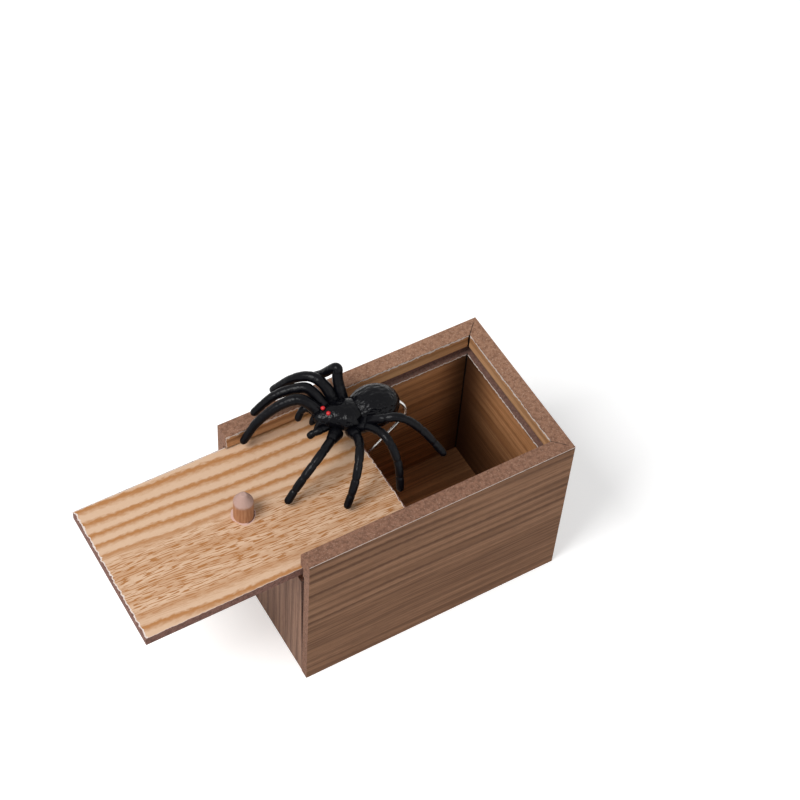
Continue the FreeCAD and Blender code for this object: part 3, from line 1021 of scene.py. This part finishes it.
@dataclass
class BoxShell:
    """The box's five boards: printed paper on their faces, bare board on their cut edges."""

    half_inner: float = 31.0 * MM
    half_length: float = 60.0 * MM
    back_inner: float = 53.0 * MM
    height: float = 82.5 * MM
    groove_low: float = 70.3 * MM
    groove_high: float = 75.3 * MM
    rebate_depth: float = 6.7 * MM
    margin: float = 0.1 * MM
    square: float = 0.9
    slanting: float = 0.5
    side_slope: float = -0.035
    back_slope: float = 0.04
    front_slope: float = 0.02
    front_stripes: float = 0.9
    inner_stripes: float = 0.55
    # Painted shade inside the box: the side walls darker towards the back corners, the back wall
    # darker towards the floor and the far corner, the floor darker towards the back.
    side_stains: tuple[PaintedShade, ...] = (PaintedShade(Axis.X, 53.0 * MM, 36.0 * MM, 0.85),)
    back_stains: tuple[PaintedShade, ...] = (
        PaintedShade(Axis.Z, 12.0 * MM, 68.0 * MM, 0.82),
        PaintedShade(Axis.Y, 29.0 * MM, 2.0 * MM, 0.97),
    )
    floor_stains: tuple[PaintedShade, ...] = (PaintedShade(Axis.X, 53.0 * MM, 15.0 * MM, 0.7),)
    corner_shade: Colour = srgb(24, 14, 9)
    raw: Fibreboard = MitredRim(
        "cut_fibreboard", srgb(136, 98, 78), srgb(106, 73, 56), srgb(166, 132, 112)
    )
    groove: Fibreboard = Fibreboard(
        "groove_fibreboard", srgb(120, 88, 76), srgb(98, 70, 60), srgb(140, 110, 98)
    )
    # Painted shade: the rebate's faces take dark board, for the shadowed gap beside the front
    # panel.
    stained: Fibreboard = Fibreboard(
        "stained_fibreboard", srgb(44, 29, 23), srgb(30, 19, 15), srgb(58, 41, 34)
    )
    outer_inks: Inks = Inks(srgb(148, 109, 81), srgb(124, 88, 62), srgb(78, 48, 28))
    front_inks: Inks = Inks(srgb(170, 133, 111), srgb(138, 104, 86), srgb(84, 58, 45))
    # Painted light: the floor's print is the inner print made lighter, and painted shade darkens it
    # again towards the back.
    lit_floor_inks: Inks = Inks(srgb(226, 163, 110), srgb(196, 134, 87), srgb(138, 87, 52))
    # Painted light: the strip above the groove takes a lighter copy of the inner print, for the
    # light that reaches it.
    lit_strip_inks: Inks = Inks(srgb(202, 156, 114), srgb(180, 131, 89), srgb(134, 91, 56))
    inner_inks: Inks = Inks(srgb(196, 141, 96), srgb(168, 116, 74), srgb(114, 71, 41))

    def paper(self, name: str, inks: Inks, along: Axis, across: Axis, **look: object) -> Material:
        """Return one board's printed paper; look holds the fields that aren't the usual ones."""
        return GrainPaper(name + "_paper", along, across, inks, self.raw, **look).material()

    def wall_papers(
        self,
        name: str,
        along: Axis,
        slope: float,
        stains: tuple[PaintedShade, ...],
        ends: tuple[PaperEdge, ...],
        corners: tuple[PaperEdge, ...],
    ) -> dict[Cover, Material]:
        """Make the three papers of one wall: outside, inside, and above the groove.

        Args:
            name: The start of the materials' names.
            along: The way the wall runs.
            slope: How much the outer print climbs.
            stains: The painted shade inside.
            ends: The torn ends of the strip above the groove.
            corners: The dark edges in the inner corners.

        Returns:
            The papers by what they cover.
        """
        top = PaperEdge(Axis.Z, self.height, torn=0.0, white=0.30 * MM, frayed=0.40 * MM)
        rim = replace(top, torn=0.12 * MM, white=0.95 * MM, frayed=2.8 * MM)
        ledge = replace(
            top, at=self.groove_low, torn=0.10 * MM, white=0.80 * MM, frayed=2.2 * MM
        )
        inside = {"edges": (ledge, *corners), "stains": stains, "striped": self.inner_stripes}
        looks = (
            (Cover.OUTER, "_outer", self.outer_inks, {"edges": (top,), "slope": slope}),
            (Cover.INNER, "_inner", self.inner_inks, inside),
            (Cover.STRIP, "_strip", self.lit_strip_inks, {"edges": (rim, *ends, *corners)}),
        )
        return {
            cover: self.paper(name + side, inks, along, Axis.Z, **look)
            for cover, side, inks, look in looks
        }

    def dress(self, nodes: dict[str, Piece]) -> None:
        """Give the five boards their finishes.

        Args:
            nodes: The CAD nodes by name.
        """
        raw, groove = self.raw.material(), self.groove.material()
        cuts = {Cover.CUT: raw, Cover.GROOVE: groove}
        side_cuts = cuts | {Cover.REBATE: self.stained.material()}
        end = PaperEdge(
            Axis.X, -self.half_length, torn=0.05 * MM, white=0.35 * MM, frayed=1.2 * MM
        )
        corner = replace(end, at=self.back_inner, torn=0.0, white=0.45 * MM, frayed=0.6 * MM)
        corner = replace(corner, core=self.corner_shade)
        for name, side in (("left_wall", 1), ("right_wall", -1)):
            papers = self.wall_papers(
                name, Axis.X, self.side_slope * side, self.side_stains, (end,), (corner,)
            )
            paint(nodes[name], papers | side_cuts, self.side_cover(side))
        corners = tuple(
            replace(corner, axis=Axis.Y, at=side * self.half_inner) for side in (-1, 1)
        )
        papers = self.wall_papers("back", Axis.Y, self.back_slope, self.back_stains, (), corners)
        paint(nodes["back_wall"], papers | cuts, self.back_cover)
        look = {"slope": self.front_slope, "striped": self.front_stripes}
        front = self.paper("front", self.front_inks, Axis.Z, Axis.Y, **look)
        paint(nodes["front_panel"], {Cover.OUTER: front, Cover.CUT: groove}, self.front_cover)
        floor = self.paper("floor", self.lit_floor_inks, Axis.X, Axis.Y, stains=self.floor_stains)
        paint(nodes["floor_panel"], {Cover.INNER: floor, Cover.CUT: raw}, self.floor_cover)

    def in_groove(self, middle: Vector) -> bool:
        """Tell whether a face lies at the height of the lid's groove."""
        return self.groove_low - self.margin < middle.z < self.groove_high + self.margin

    def mitred(self, normal: Vector) -> bool:
        """Tell whether a face is one of the mitres."""
        return min(abs(normal.x), abs(normal.y)) > self.slanting

    def side_cover(self, side: int) -> Callable[[Vector, Vector], Cover]:
        """Make the rule that tells what covers each face of a side wall.

        Args:
            side: The wall's side along Y, -1 or 1.

        Returns:
            The rule, which takes a face's middle and normal.
        """

        def pick(middle: Vector, normal: Vector) -> Cover:
            """Tell what covers one face."""
            if normal.y * side > self.square:
                return Cover.OUTER
            inside = abs(middle.y) < self.half_inner + self.margin
            if normal.y * side < -self.square and inside:
                return Cover.STRIP if middle.z > self.groove_high else Cover.INNER
            grooved = self.in_groove(middle) and abs(normal.x) < self.slanting
            if grooved or self.mitred(normal):
                return Cover.GROOVE
            depth = middle.x + self.half_length
            behind = self.margin < depth < self.rebate_depth + self.margin
            rebated = behind and middle.z < self.groove_low and normal.z > -self.slanting
            return Cover.REBATE if rebated else Cover.CUT

        return pick

    def back_cover(self, middle: Vector, normal: Vector) -> Cover:
        """Tell what covers one face of the back wall.

        Args:
            middle: The face's middle.
            normal: The face's normal.

        Returns:
            What covers it.
        """
        if normal.x > self.square:
            return Cover.OUTER
        if normal.x < -self.square and middle.x < self.back_inner + self.margin:
            return Cover.STRIP if middle.z > self.groove_high else Cover.INNER
        return Cover.GROOVE if self.in_groove(middle) or self.mitred(normal) else Cover.CUT

    def front_cover(self, _middle: Vector, normal: Vector) -> Cover:
        """Tell what covers one face of the front panel."""
        return Cover.OUTER if abs(normal.x) > self.square else Cover.CUT

    def floor_cover(self, _middle: Vector, normal: Vector) -> Cover:
        """Tell what covers one face of the floor."""
        return Cover.INNER if normal.z > self.slanting else Cover.CUT


@dataclass
class SlidingLid:
    """The lid with its striped paper, its dowel knob and the staples below it."""

    outer_end: float = -125.5 * MM
    inner_end: float = -11.0 * MM
    half_width: float = 32.2 * MM
    slanting: float = 0.5
    board: Fibreboard = Fibreboard(
        "lid_edge_fibreboard", srgb(122, 84, 72), srgb(94, 62, 52), srgb(150, 114, 100)
    )
    inks: Inks = Inks(srgb(210, 176, 146), srgb(170, 115, 64), srgb(160, 104, 50))
    staple: PlainFinish = PlainFinish("staple_steel", srgb(176, 174, 170), 0.38, 1.0)

    def dress(self, nodes: dict[str, Piece]) -> None:
        """Give the lid, the knob and the staples their finishes.

        Args:
            nodes: The CAD nodes by name.
        """
        edges = (
            PaperEdge(Axis.X, self.outer_end, torn=0.35 * MM, white=0.45 * MM, frayed=2.2 * MM),
            PaperEdge(Axis.X, self.inner_end, torn=0.25 * MM, white=0.20 * MM, frayed=2.2 * MM),
            PaperEdge(Axis.Y, -self.half_width, torn=0.05 * MM, white=0.10 * MM, frayed=0.9 * MM),
            PaperEdge(Axis.Y, self.half_width, torn=0.10 * MM, white=0.22 * MM, frayed=0.8 * MM),
        )
        paper = StripedPaper("lid_paper", Axis.X, Axis.Y, self.inks, self.board, edges)
        covers = {Cover.OUTER: paper.material(), Cover.CUT: self.board.material()}
        paint(nodes["lid_panel"], covers, self.lid_cover)
        coat(nodes["lid_knob"], BareDowel().material())
        staple = self.staple.material()
        for name in ("coil_staple", "leg_staples"):
            coat(nodes[name], staple)

    def lid_cover(self, _middle: Vector, normal: Vector) -> Cover:
        """Tell what covers one face of the lid."""
        return Cover.OUTER if abs(normal.z) > self.slanting else Cover.CUT


@dataclass
class FlipSpring:
    """The torsion spring: a fixed leg, a coil, an arm and a bent end in the abdomen."""

    wire: float = 1.3 * MM
    axis_x: float = -18.6 * MM
    axis_z: float = 64.5 * MM
    reach: float = 3.0 * MM
    turns: float = 3.0
    pitch: float = 2.0 * MM
    arm_side: float = 6.2 * MM
    arm_slope: float = math.radians(43.0)
    arm_length: float = 36.0 * MM
    leg_slope: float = math.radians(35.0)
    leg_run: float = 15.0 * MM
    seat: float = 69.65 * MM
    bend: float = 5.0 * MM
    tip: Point = (2.0 * MM, 12.0 * MM, 95.0 * MM)
    coil_steps: int = 150
    bend_steps: int = 14
    finish: PlainFinish = PlainFinish("spring_steel", srgb(205, 203, 200), 0.22, 1.0)

    def coil(self) -> tuple[list[Vector], Vector]:
        """Wind the coil.

        Returns:
            Its points, and the direction in which the wire leaves it.
        """
        first = math.atan2(-math.cos(self.leg_slope), -math.sin(self.leg_slope))
        last = math.atan2(-math.cos(self.arm_slope), math.sin(self.arm_slope))
        last += 2 * math.pi * self.turns
        length = self.pitch * (last - first) / (2 * math.pi)
        points = []
        for step in range(self.coil_steps + 1):
            share = step / self.coil_steps
            angle = first + share * (last - first)
            x = self.axis_x + self.reach * math.cos(angle)
            z = self.axis_z + self.reach * math.sin(angle)
            points.append(Vector((x, self.arm_side - length * (1 - share), z)))
        return points, Vector((-math.sin(last), 0, math.cos(last)))

    def rounded(self, before: Vector, corner: Vector, after: Vector) -> list[Vector]:
        """Round one corner of the wire.

        Args:
            before: A point of the wire before the corner.
            corner: The sharp corner.
            after: A point of the wire after the corner.

        Returns:
            The bend's points.
        """
        back = (before - corner).normalized()
        ahead = (after - corner).normalized()
        half = back.angle(ahead) / 2
        trim = self.bend / math.tan(half)
        start, end = corner + back * trim, corner + ahead * trim
        centre = corner + (back + ahead).normalized() * (self.bend / math.sin(half))
        chord = [start.lerp(end, step / self.bend_steps) for step in range(self.bend_steps + 1)]
        return [centre + (point - centre).normalized() * self.bend for point in chord]

    def route(self) -> list[Vector]:
        """Lead the wire from its fixed end to its tip.

        Returns:
            The points of its middle line.
        """
        turns, leaving = self.coil()
        knee_run = (self.seat - turns[0].z) / math.tan(self.leg_slope)
        knee = Vector((turns[0].x - knee_run, turns[0].y, self.seat))
        tail = knee - Vector((self.leg_run, 0, 0))
        corner = turns[-1] + leaving * self.arm_length
        tip = Vector(self.tip)
        first_bend = self.rounded(tail, knee, turns[0])
        return [tail, *first_bend, *turns, *self.rounded(turns[-1], corner, tip), tip]

    def build(self, tubes: TubeTree) -> Piece:
        """Draw the wire, with its coil between the lid and the spider.

        Args:
            tubes: The tree that skins the wire.

        Returns:
            The wire.
        """
        sizes = TubeSizes(self.wire / 2, self.wire / 2, tip_share=0.002, steps=700, sides=16)
        piece = tubes.tube("spring_wire", self.route(), self.finish.material(), sizes)
        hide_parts("torsion_spring")
        turns, _ = self.coil()
        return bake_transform(piece)


@dataclass(frozen=True)
class Ripple:
    """Uneven swelling of a moulded skin."""

    height: float
    scale: Point

    def at(self, place: Sequence[float]) -> float:
        """Return the swelling at a place, as a share of the body's size."""
        return self.height * noise.noise(Vector([x * by for x, by in zip(place, self.scale)]))


class Leg(NamedTuple):
    """One leg: its node, the turn of its hip from the head in degrees, and its stations."""

    node: str
    hip_turn: float
    stations: tuple[Point, ...]


class Section(NamedTuple):
    """A cross-section of the carapace, in shares of its length, width, height and turn."""

    along: float
    wide: float
    high: float
    turned: float


@dataclass
class RubberSpider:
    """The moulded spider on the spring, laid out in millimetres from the carapace's middle."""

    middle: Point = (-18.0, 12.0, 93.0)
    abdomen_middle: Point = (-4.6, 12.0, 91.0)
    abdomen_half: Point = (11.3, 9.1, 8.5)
    abdomen_rows: int = 90
    abdomen_sides: int = 128
    folds: Ripple = Ripple(0.016, (3.0, 6.0, 6.0))
    pits: Ripple = Ripple(0.004, (14.0, 14.0, 14.0))
    half_width: float = 7.2
    half_height: float = 5.4
    head_reach: float = 10.8
    head_turn: float = 3.6
    back_reach: float = 8.6
    end_bulge: float = 0.4
    sections: tuple[Section, ...] = (
        Section(0.0, 0.25, 0.28, 1.0),
        Section(0.07, 0.45, 0.52, 0.88),
        Section(0.25, 0.66, 0.78, 0.56),
        Section(0.48, 0.95, 0.98, 0.16),
        Section(0.71, 1.0, 0.95, 0.0),
        Section(0.89, 0.72, 0.72, 0.0),
        Section(1.0, 0.36, 0.40, 0.0),
    )
    carapace_sides: int = 112
    furrow_centre: float = 2.0
    furrow_count: float = 9.0
    furrow_height: float = 0.022
    furrow_reach: float = 1.6
    furrow_floor: float = -0.2
    skin_grain: Ripple = Ripple(0.02, (1.3, 6.0, 6.0))
    eye_middle: Point = (-6.4, 2.7, 4.1)
    eye_spread: Point = (-0.35, 1.6, 0.0)
    eye_radius: float = 0.9
    eye_rows: int = 16
    eye_sides: int = 24
    eye_paint: PlainFinish = PlainFinish("eye_paint", srgb(196, 22, 30), 0.3)
    fang_middle: float = 3.2
    fang_spread: float = 1.9
    fang_line: tuple[Span, ...] = ((-8.65, 0.7), (-10.2, -2.0), (-11.75, -4.7))
    fang_sizes: TubeSizes = TubeSizes(
        1.75 * MM, 1.35 * MM, tip_share=0.45, steps=24, sides=24, lump_height=0.15 * MM
    )
    palps: tuple[tuple[Point, ...], ...] = (
        ((-7, -0.4, -2), (-10.9, -1.1, -1.5), (-13.6, -0.4, -2.5), (-15.8, -0.2, -4.2)),
        ((-7.5, 4.5, -1), (-10.2, 9.1, 0.2), (-12.4, 10.6, -1), (-15, 10.2, -6)),
    )
    palp_root: Point = (-8, 2.5, -1.5)
    palp_sizes: TubeSizes = TubeSizes(
        1.7 * MM, 1.4 * MM, tip_share=0.12, steps=60, sides=20,
        joints=3, joint_depth=0.16, lump_height=0.2 * MM,
    )
    hip_reach: float = 0.72
    hip_drop: float = 3.5
    near_leg: TubeSizes = TubeSizes(
        2.0 * MM, 1.55 * MM, tip_share=0.045, steps=150, sides=24,
        joints=6, joint_depth=0.17, lump_height=0.22 * MM, hip_swell=0.6,
    )
    far_leg: TubeSizes = replace(
        near_leg, root_radius=2.6 * MM, tip_radius=1.6 * MM, joint_depth=0.05, hip_swell=0.2
    )
    near_legs: tuple[Leg, ...] = (
        Leg("left_leg_1", 42, (
            (-15.5, -11.5, -0.5), (-24, -14.6, -5), (-30, -15.5, -12), (-34, -16.5, -16.4))),
        Leg("left_leg_2", 100, (
            (-0.8, -14, 0.5), (-5, -21.5, 0.3), (-9.5, -26.6, -6.5), (-14.5, -29.5, -16.4))),
        Leg("left_leg_3", 118, (
            (6.3, -12, 2.4), (8, -20.5, 4), (9.2, -27.5, -4), (8, -32.5, -16))),
        Leg("left_leg_4", 138, (
            (9, -12, 6.4), (16, -17, 8.6), (23, -22, 2), (30, -29.5, -10))),
    )
    far_legs: tuple[Leg, ...] = (
        Leg("right_leg_1", 38, (
            (-12, 10.6, 5), (-19.5, 14.4, 2.6), (-28.8, 16.5, -5), (-36.4, 16.2, -14.6))),
        Leg("right_leg_2", 64, (
            (-7, 13.2, 5), (-11.5, 17, 5), (-20, 20.5, 1), (-29, 22, -7))),
        Leg("right_leg_3", 95, (
            (-1.2, 11.5, 5.5), (-4.8, 17.2, 8.2), (-10.4, 22.4, 4.4), (-17.5, 27.5, -5))),
        Leg("right_leg_4", 125, (
            (3.8, 11.4, 7), (4.5, 14, 12), (0.7, 18, 6.2), (-2.9, 21.7, 2))),
    )
    body_steps: int = 10
    leg_steps: int = 16
    limb_skin: MouldedRubber = MouldedRubber(
        "limb_rubber", (1.0, 1.0, 1.0), Clouds(600.0, 1.5), 0.22 * MM, roughness=0.29
    )
    abdomen_skin: MouldedRubber = MouldedRubber(
        "abdomen_rubber", (0.6, 1.0, 1.0), Clouds(650.0, 1.5), 0.6 * MM
    )
    carapace_skin: MouldedRubber = MouldedRubber(
        "carapace_rubber", (1.0, 1.0, 1.0), Clouds(560.0, 1.5), 0.5 * MM
    )

    def point(self, station: Sequence[float]) -> Vector:
        """Return a station, given in millimetres from the carapace's middle, in metres."""
        return (Vector(self.middle) + Vector(station)) * MM

    def line(self, stations: Sequence[Sequence[float]], steps: int) -> list[Vector]:
        """Return a smooth line through stations, in metres."""
        return smooth_line([self.point(station) for station in stations], steps)

    def hip(self, angle: float, side: int) -> Vector:
        """Place the inner end of a leg, inside the carapace.

        Args:
            angle: The hip's turn from the head in degrees.
            side: The leg's side along Y, -1 or 1.

        Returns:
            The station in millimetres.
        """
        turn = math.radians(angle)
        along = -self.hip_reach * self.back_reach * math.cos(turn)
        across = side * self.hip_reach * self.half_width * math.sin(turn)
        return Vector((along, across, -self.hip_drop))

    def build(self, tubes: TubeTree) -> None:
        """Make every piece of the spider.

        Args:
            tubes: The tree that skins the limbs.
        """
        skin = self.limb_skin.material()
        self.build_abdomen()
        self.build_thorax()
        self.build_fangs(tubes, skin)
        self.build_eyes()
        self.build_palps(tubes, skin)
        self.build_legs(tubes, skin)

    def attach(self, piece: Piece, node: str) -> None:
        """Let a piece stand for a CAD node and ride on the spider.

        Args:
            piece: The piece.
            node: The node that it replaces.
        """
        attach(piece, "spider")
        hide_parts(node)
        LOG.info("%s: %d faces", piece.name, len(piece.data.polygons))

    def build_abdomen(self) -> None:
        """Model the wrinkled egg of the abdomen."""
        centre, half = Vector(self.abdomen_middle), self.abdomen_half
        rings = []
        for ball_ring in ball_rings(self.abdomen_rows, self.abdomen_sides):
            ring = []
            for out in ball_ring:
                swell = 1 + self.folds.at(out) + self.pits.at(out)
                reach = Vector([part * by for part, by in zip(out, half)])
                ring.append((centre + reach * swell) * MM)
            rings.append(ring)
        ends = [(centre + Vector((sign * half[0], 0, 0))) * MM for sign in (-1, 1)]
        piece = round_body("abdomen", rings, ends, self.abdomen_skin.material())
        self.attach(piece, "spider_abdomen")

    def furrow(self, along: float, across: float, up: float, wide: float) -> float:
        """Cut the furrows that run out to the hips.

        Args:
            along: The place along the carapace in millimetres.
            across: The sideways part of the direction from its middle line.
            up: The upward part of that direction.
            wide: The section's share of the width.

        Returns:
            The swelling as a share of the section's size, 0 on the underside.
        """
        if up <= self.furrow_floor:
            return 0.0
        spread = math.atan2(across * wide * self.half_width, along - self.furrow_centre)
        strength = min(1.0, abs(across) * self.furrow_reach)
        return self.furrow_height * math.cos(spread * self.furrow_count) * strength

    def build_thorax(self) -> None:
        """Model the carapace, with furrows running out to the hips, and the head in front."""
        profile = smooth_line([Vector(section) for section in self.sections], self.body_steps)
        length = self.head_reach + self.back_reach
        sides = self.carapace_sides
        turns = [2 * math.pi * step / sides for step in range(sides)]
        rings = []
        for share, wide, high, turned in profile:
            along = -self.head_reach + share * length
            ring = []
            for across, up in ((math.cos(turn), math.sin(turn)) for turn in turns):
                swell = 1 + self.furrow(along, across, up, wide)
                swell += self.skin_grain.at((along, across, up))
                aside = turned * self.head_turn + across * wide * self.half_width * swell
                ring.append(self.point((along, aside, up * high * self.half_height * swell)))
            rings.append(ring)
        ends = (
            self.point((-self.head_reach - self.end_bulge, self.head_turn, 0)),
            self.point((self.back_reach + self.end_bulge, 0, 0)),
        )
        piece = round_body("carapace", rings, ends, self.carapace_skin.material())
        self.attach(piece, "spider_cephalothorax")

    def build_fangs(self, tubes: TubeTree, finish: Material) -> None:
        """Model the two blunt fangs under the head.

        Args:
            tubes: The tree that skins them.
            finish: Their material.
        """
        halves = []
        for side in (-1, 1):
            across = self.fang_middle + side * self.fang_spread
            line = self.line([(x, across, z) for x, z in self.fang_line], self.body_steps)
            halves.append(tubes.tube(f"fang_{side}", line, finish, self.fang_sizes))
        self.attach(joined("fangs", halves), "spider_fangs")

    def build_eyes(self) -> None:
        """Model the two painted eyes."""
        finish = self.eye_paint.material()
        reach = Vector((self.eye_radius * MM, 0, 0))
        halves = []
        for side in (-1, 1):
            centre = self.point(Vector(self.eye_middle) + Vector(self.eye_spread) * side)
            rings = [
                [centre + out * self.eye_radius * MM for out in ring]
                for ring in ball_rings(self.eye_rows, self.eye_sides)
            ]
            ends = (centre - reach, centre + reach)
            halves.append(round_body(f"eye_{side}", rings, ends, finish))
        self.attach(joined("eyes", halves), "spider_eyes")

    def build_palps(self, tubes: TubeTree, finish: Material) -> None:
        """Model the two feelers beside the fangs.

        Args:
            tubes: The tree that skins them.
            finish: Their material.
        """
        halves = []
        for number, stations in enumerate(self.palps, start=1):
            line = self.line(stations, self.body_steps)
            halves.append(tubes.tube(f"palp_{number}", line, finish, self.palp_sizes))
        piece = joined("palps", halves)
        self.attach(piece, "spider_palps")
        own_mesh(piece)

    def build_legs(self, tubes: TubeTree, finish: Material) -> None:
        """Model the eight legs.

        Args:
            tubes: The tree that skins them.
            finish: Their material.
        """
        sides = ((-1, self.near_legs, self.near_leg), (1, self.far_legs, self.far_leg))
        for side, legs, sizes in sides:
            for leg in legs:
                line = self.line((self.hip(leg.hip_turn, side), *leg.stations), self.leg_steps)
                piece = tubes.tube(leg.node + "_skin", line, finish, sizes)
                self.attach(piece, leg.node)
                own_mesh(piece)


@dataclass(frozen=True)
class Lamp:
    """A soft square lamp: its place and side in metres, and its power in watts."""

    name: str
    place: Point
    size: float
    power: float

    def hang(self, aim: Point) -> None:
        """Hang the lamp.

        Args:
            aim: The place that it faces.
        """
        lamp = bpy.data.lights.new(self.name, "AREA")
        lamp.size = self.size
        lamp.energy = self.power
        holder = bpy.data.objects.new(self.name, lamp)
        bpy.context.scene.collection.objects.link(holder)
        holder.location = self.place
        facing = Vector(aim) - Vector(self.place)
        holder.rotation_euler = facing.to_track_quat("-Z", "Y").to_euler()


@dataclass
class StudioStage:
    """A white floor, soft overhead light and the camera."""

    camera_place: Point = (-0.260436, -0.382918, 0.702002)
    azimuth: float = math.radians(-34.224)
    elevation: float = math.radians(52.155)
    roll: float = math.radians(4.981)
    lens: float = 87.943
    sensor: float = 36.0
    aim: Point = (0.0, 0.0, 0.04)
    lamps: tuple[Lamp, ...] = (
        Lamp("key_light", (-0.62, -0.08, 0.88), 0.5, 9.0),
        Lamp("fill_light", (0.25, -0.9, 0.55), 0.9, 2.0),
    )
    world_light: float = 0.28
    white: Colour = (1.0, 1.0, 1.0, 1.0)
    floor_reach: float = 6.0
    floor_colour: Colour = (0.88, 0.88, 0.88, 1.0)
    floor_glow: float = 0.45
    far_glow: float = 0.35
    shadow: Span = (0.3, 1.2)

    def build(self) -> None:
        """Set up the floor, the lights, the world and the camera."""
        bpy.context.scene.view_settings.view_transform = "Standard"
        self.build_floor()
        self.build_world()
        for lamp in self.lamps:
            lamp.hang(self.aim)
        self.build_camera()

    def build_floor(self) -> None:
        """Lay a large white floor that keeps the object's shadow; its glow is weaker near the
        object, which paints a soft shade round it.
        """
        reach = self.floor_reach
        mesh = bpy.data.meshes.new("studio_floor")
        corners = [(-reach, -reach, 0), (reach, -reach, 0), (reach, reach, 0), (-reach, reach, 0)]
        mesh.from_pydata(corners, [], [(0, 1, 2, 3)])
        floor = place_mesh("studio_floor", mesh)
        shader = Shader("studio_white")
        mesh.materials.append(shader.finish(self.floor_colour, 1.0, gloss=0.0))
        ahead, aside, _ = shader.axes
        squared = shader.add(shader.times(ahead, ahead), shader.times(aside, aside))
        # Painted shade: the floor glows less near the object.
        far = shader.between(shader.math("SQRT", squared), self.shadow)
        level = shader.add(self.floor_glow, shader.times(far, self.far_glow))
        strength = shader.times(shader.seen_plainly(), level)
        glow = shader.node("ShaderNodeEmission", Strength=strength)
        both = shader.node("ShaderNodeAddShader")
        for source, target in zip((shader.surface, glow), both.inputs):
            shader.join(source.outputs[0], target)
        output = shader.tree.nodes["Material Output"]
        shader.join(both.outputs[0], output.inputs["Surface"])

    def build_world(self) -> None:
        """Light the scene faintly from all round, and show white behind it."""
        world = bpy.data.worlds.new("studio_world")
        bpy.context.scene.world = world
        world.use_nodes = True
        maker = NodeMaker(world.node_tree)
        level = maker.node(
            "ShaderNodeMapRange", Value=maker.seen_plainly(), To_Min=self.world_light, To_Max=1.0
        )
        background = maker.tree.nodes["Background"].inputs
        maker.join(level.outputs["Result"], background["Strength"])
        maker.join(self.white, background["Color"])

    def build_camera(self) -> None:
        """Place the camera as the photograph was taken."""
        camera = bpy.data.cameras.new("photo_camera")
        camera.lens = self.lens
        camera.sensor_width = self.sensor
        holder = bpy.data.objects.new("photo_camera", camera)
        bpy.context.scene.collection.objects.link(holder)
        level = math.cos(self.elevation)
        x, y = math.sin(self.azimuth) * level, -math.cos(self.azimuth) * level
        back = Vector((x, y, math.sin(self.elevation)))
        right = (-back).cross(Vector((0, 0, 1))).normalized()
        up = right.cross(-back)
        turned_right = right * math.cos(self.roll) + up * math.sin(self.roll)
        turned_up = up * math.cos(self.roll) - right * math.sin(self.roll)
        frame = Matrix((turned_right, turned_up, back)).transposed().to_4x4()
        frame.translation = Vector(self.camera_place)
        holder.matrix_world = frame
        bpy.context.scene.camera = holder


def main() -> None:
    """Build the whole scene in order."""
    logging.basicConfig(level=logging.INFO)
    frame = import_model()
    nodes = frame["nodes"]
    StudioStage().build()
    LOG.info("stage: camera, floor and lights")
    BoxShell().dress(nodes)
    SlidingLid().dress(nodes)
    tubes = TubeTree()
    spring = FlipSpring().build(tubes)
    LOG.info("%s: %d faces", spring.name, len(spring.data.polygons))
    RubberSpider().build(tubes)


if __name__ == "__main__":
    main()
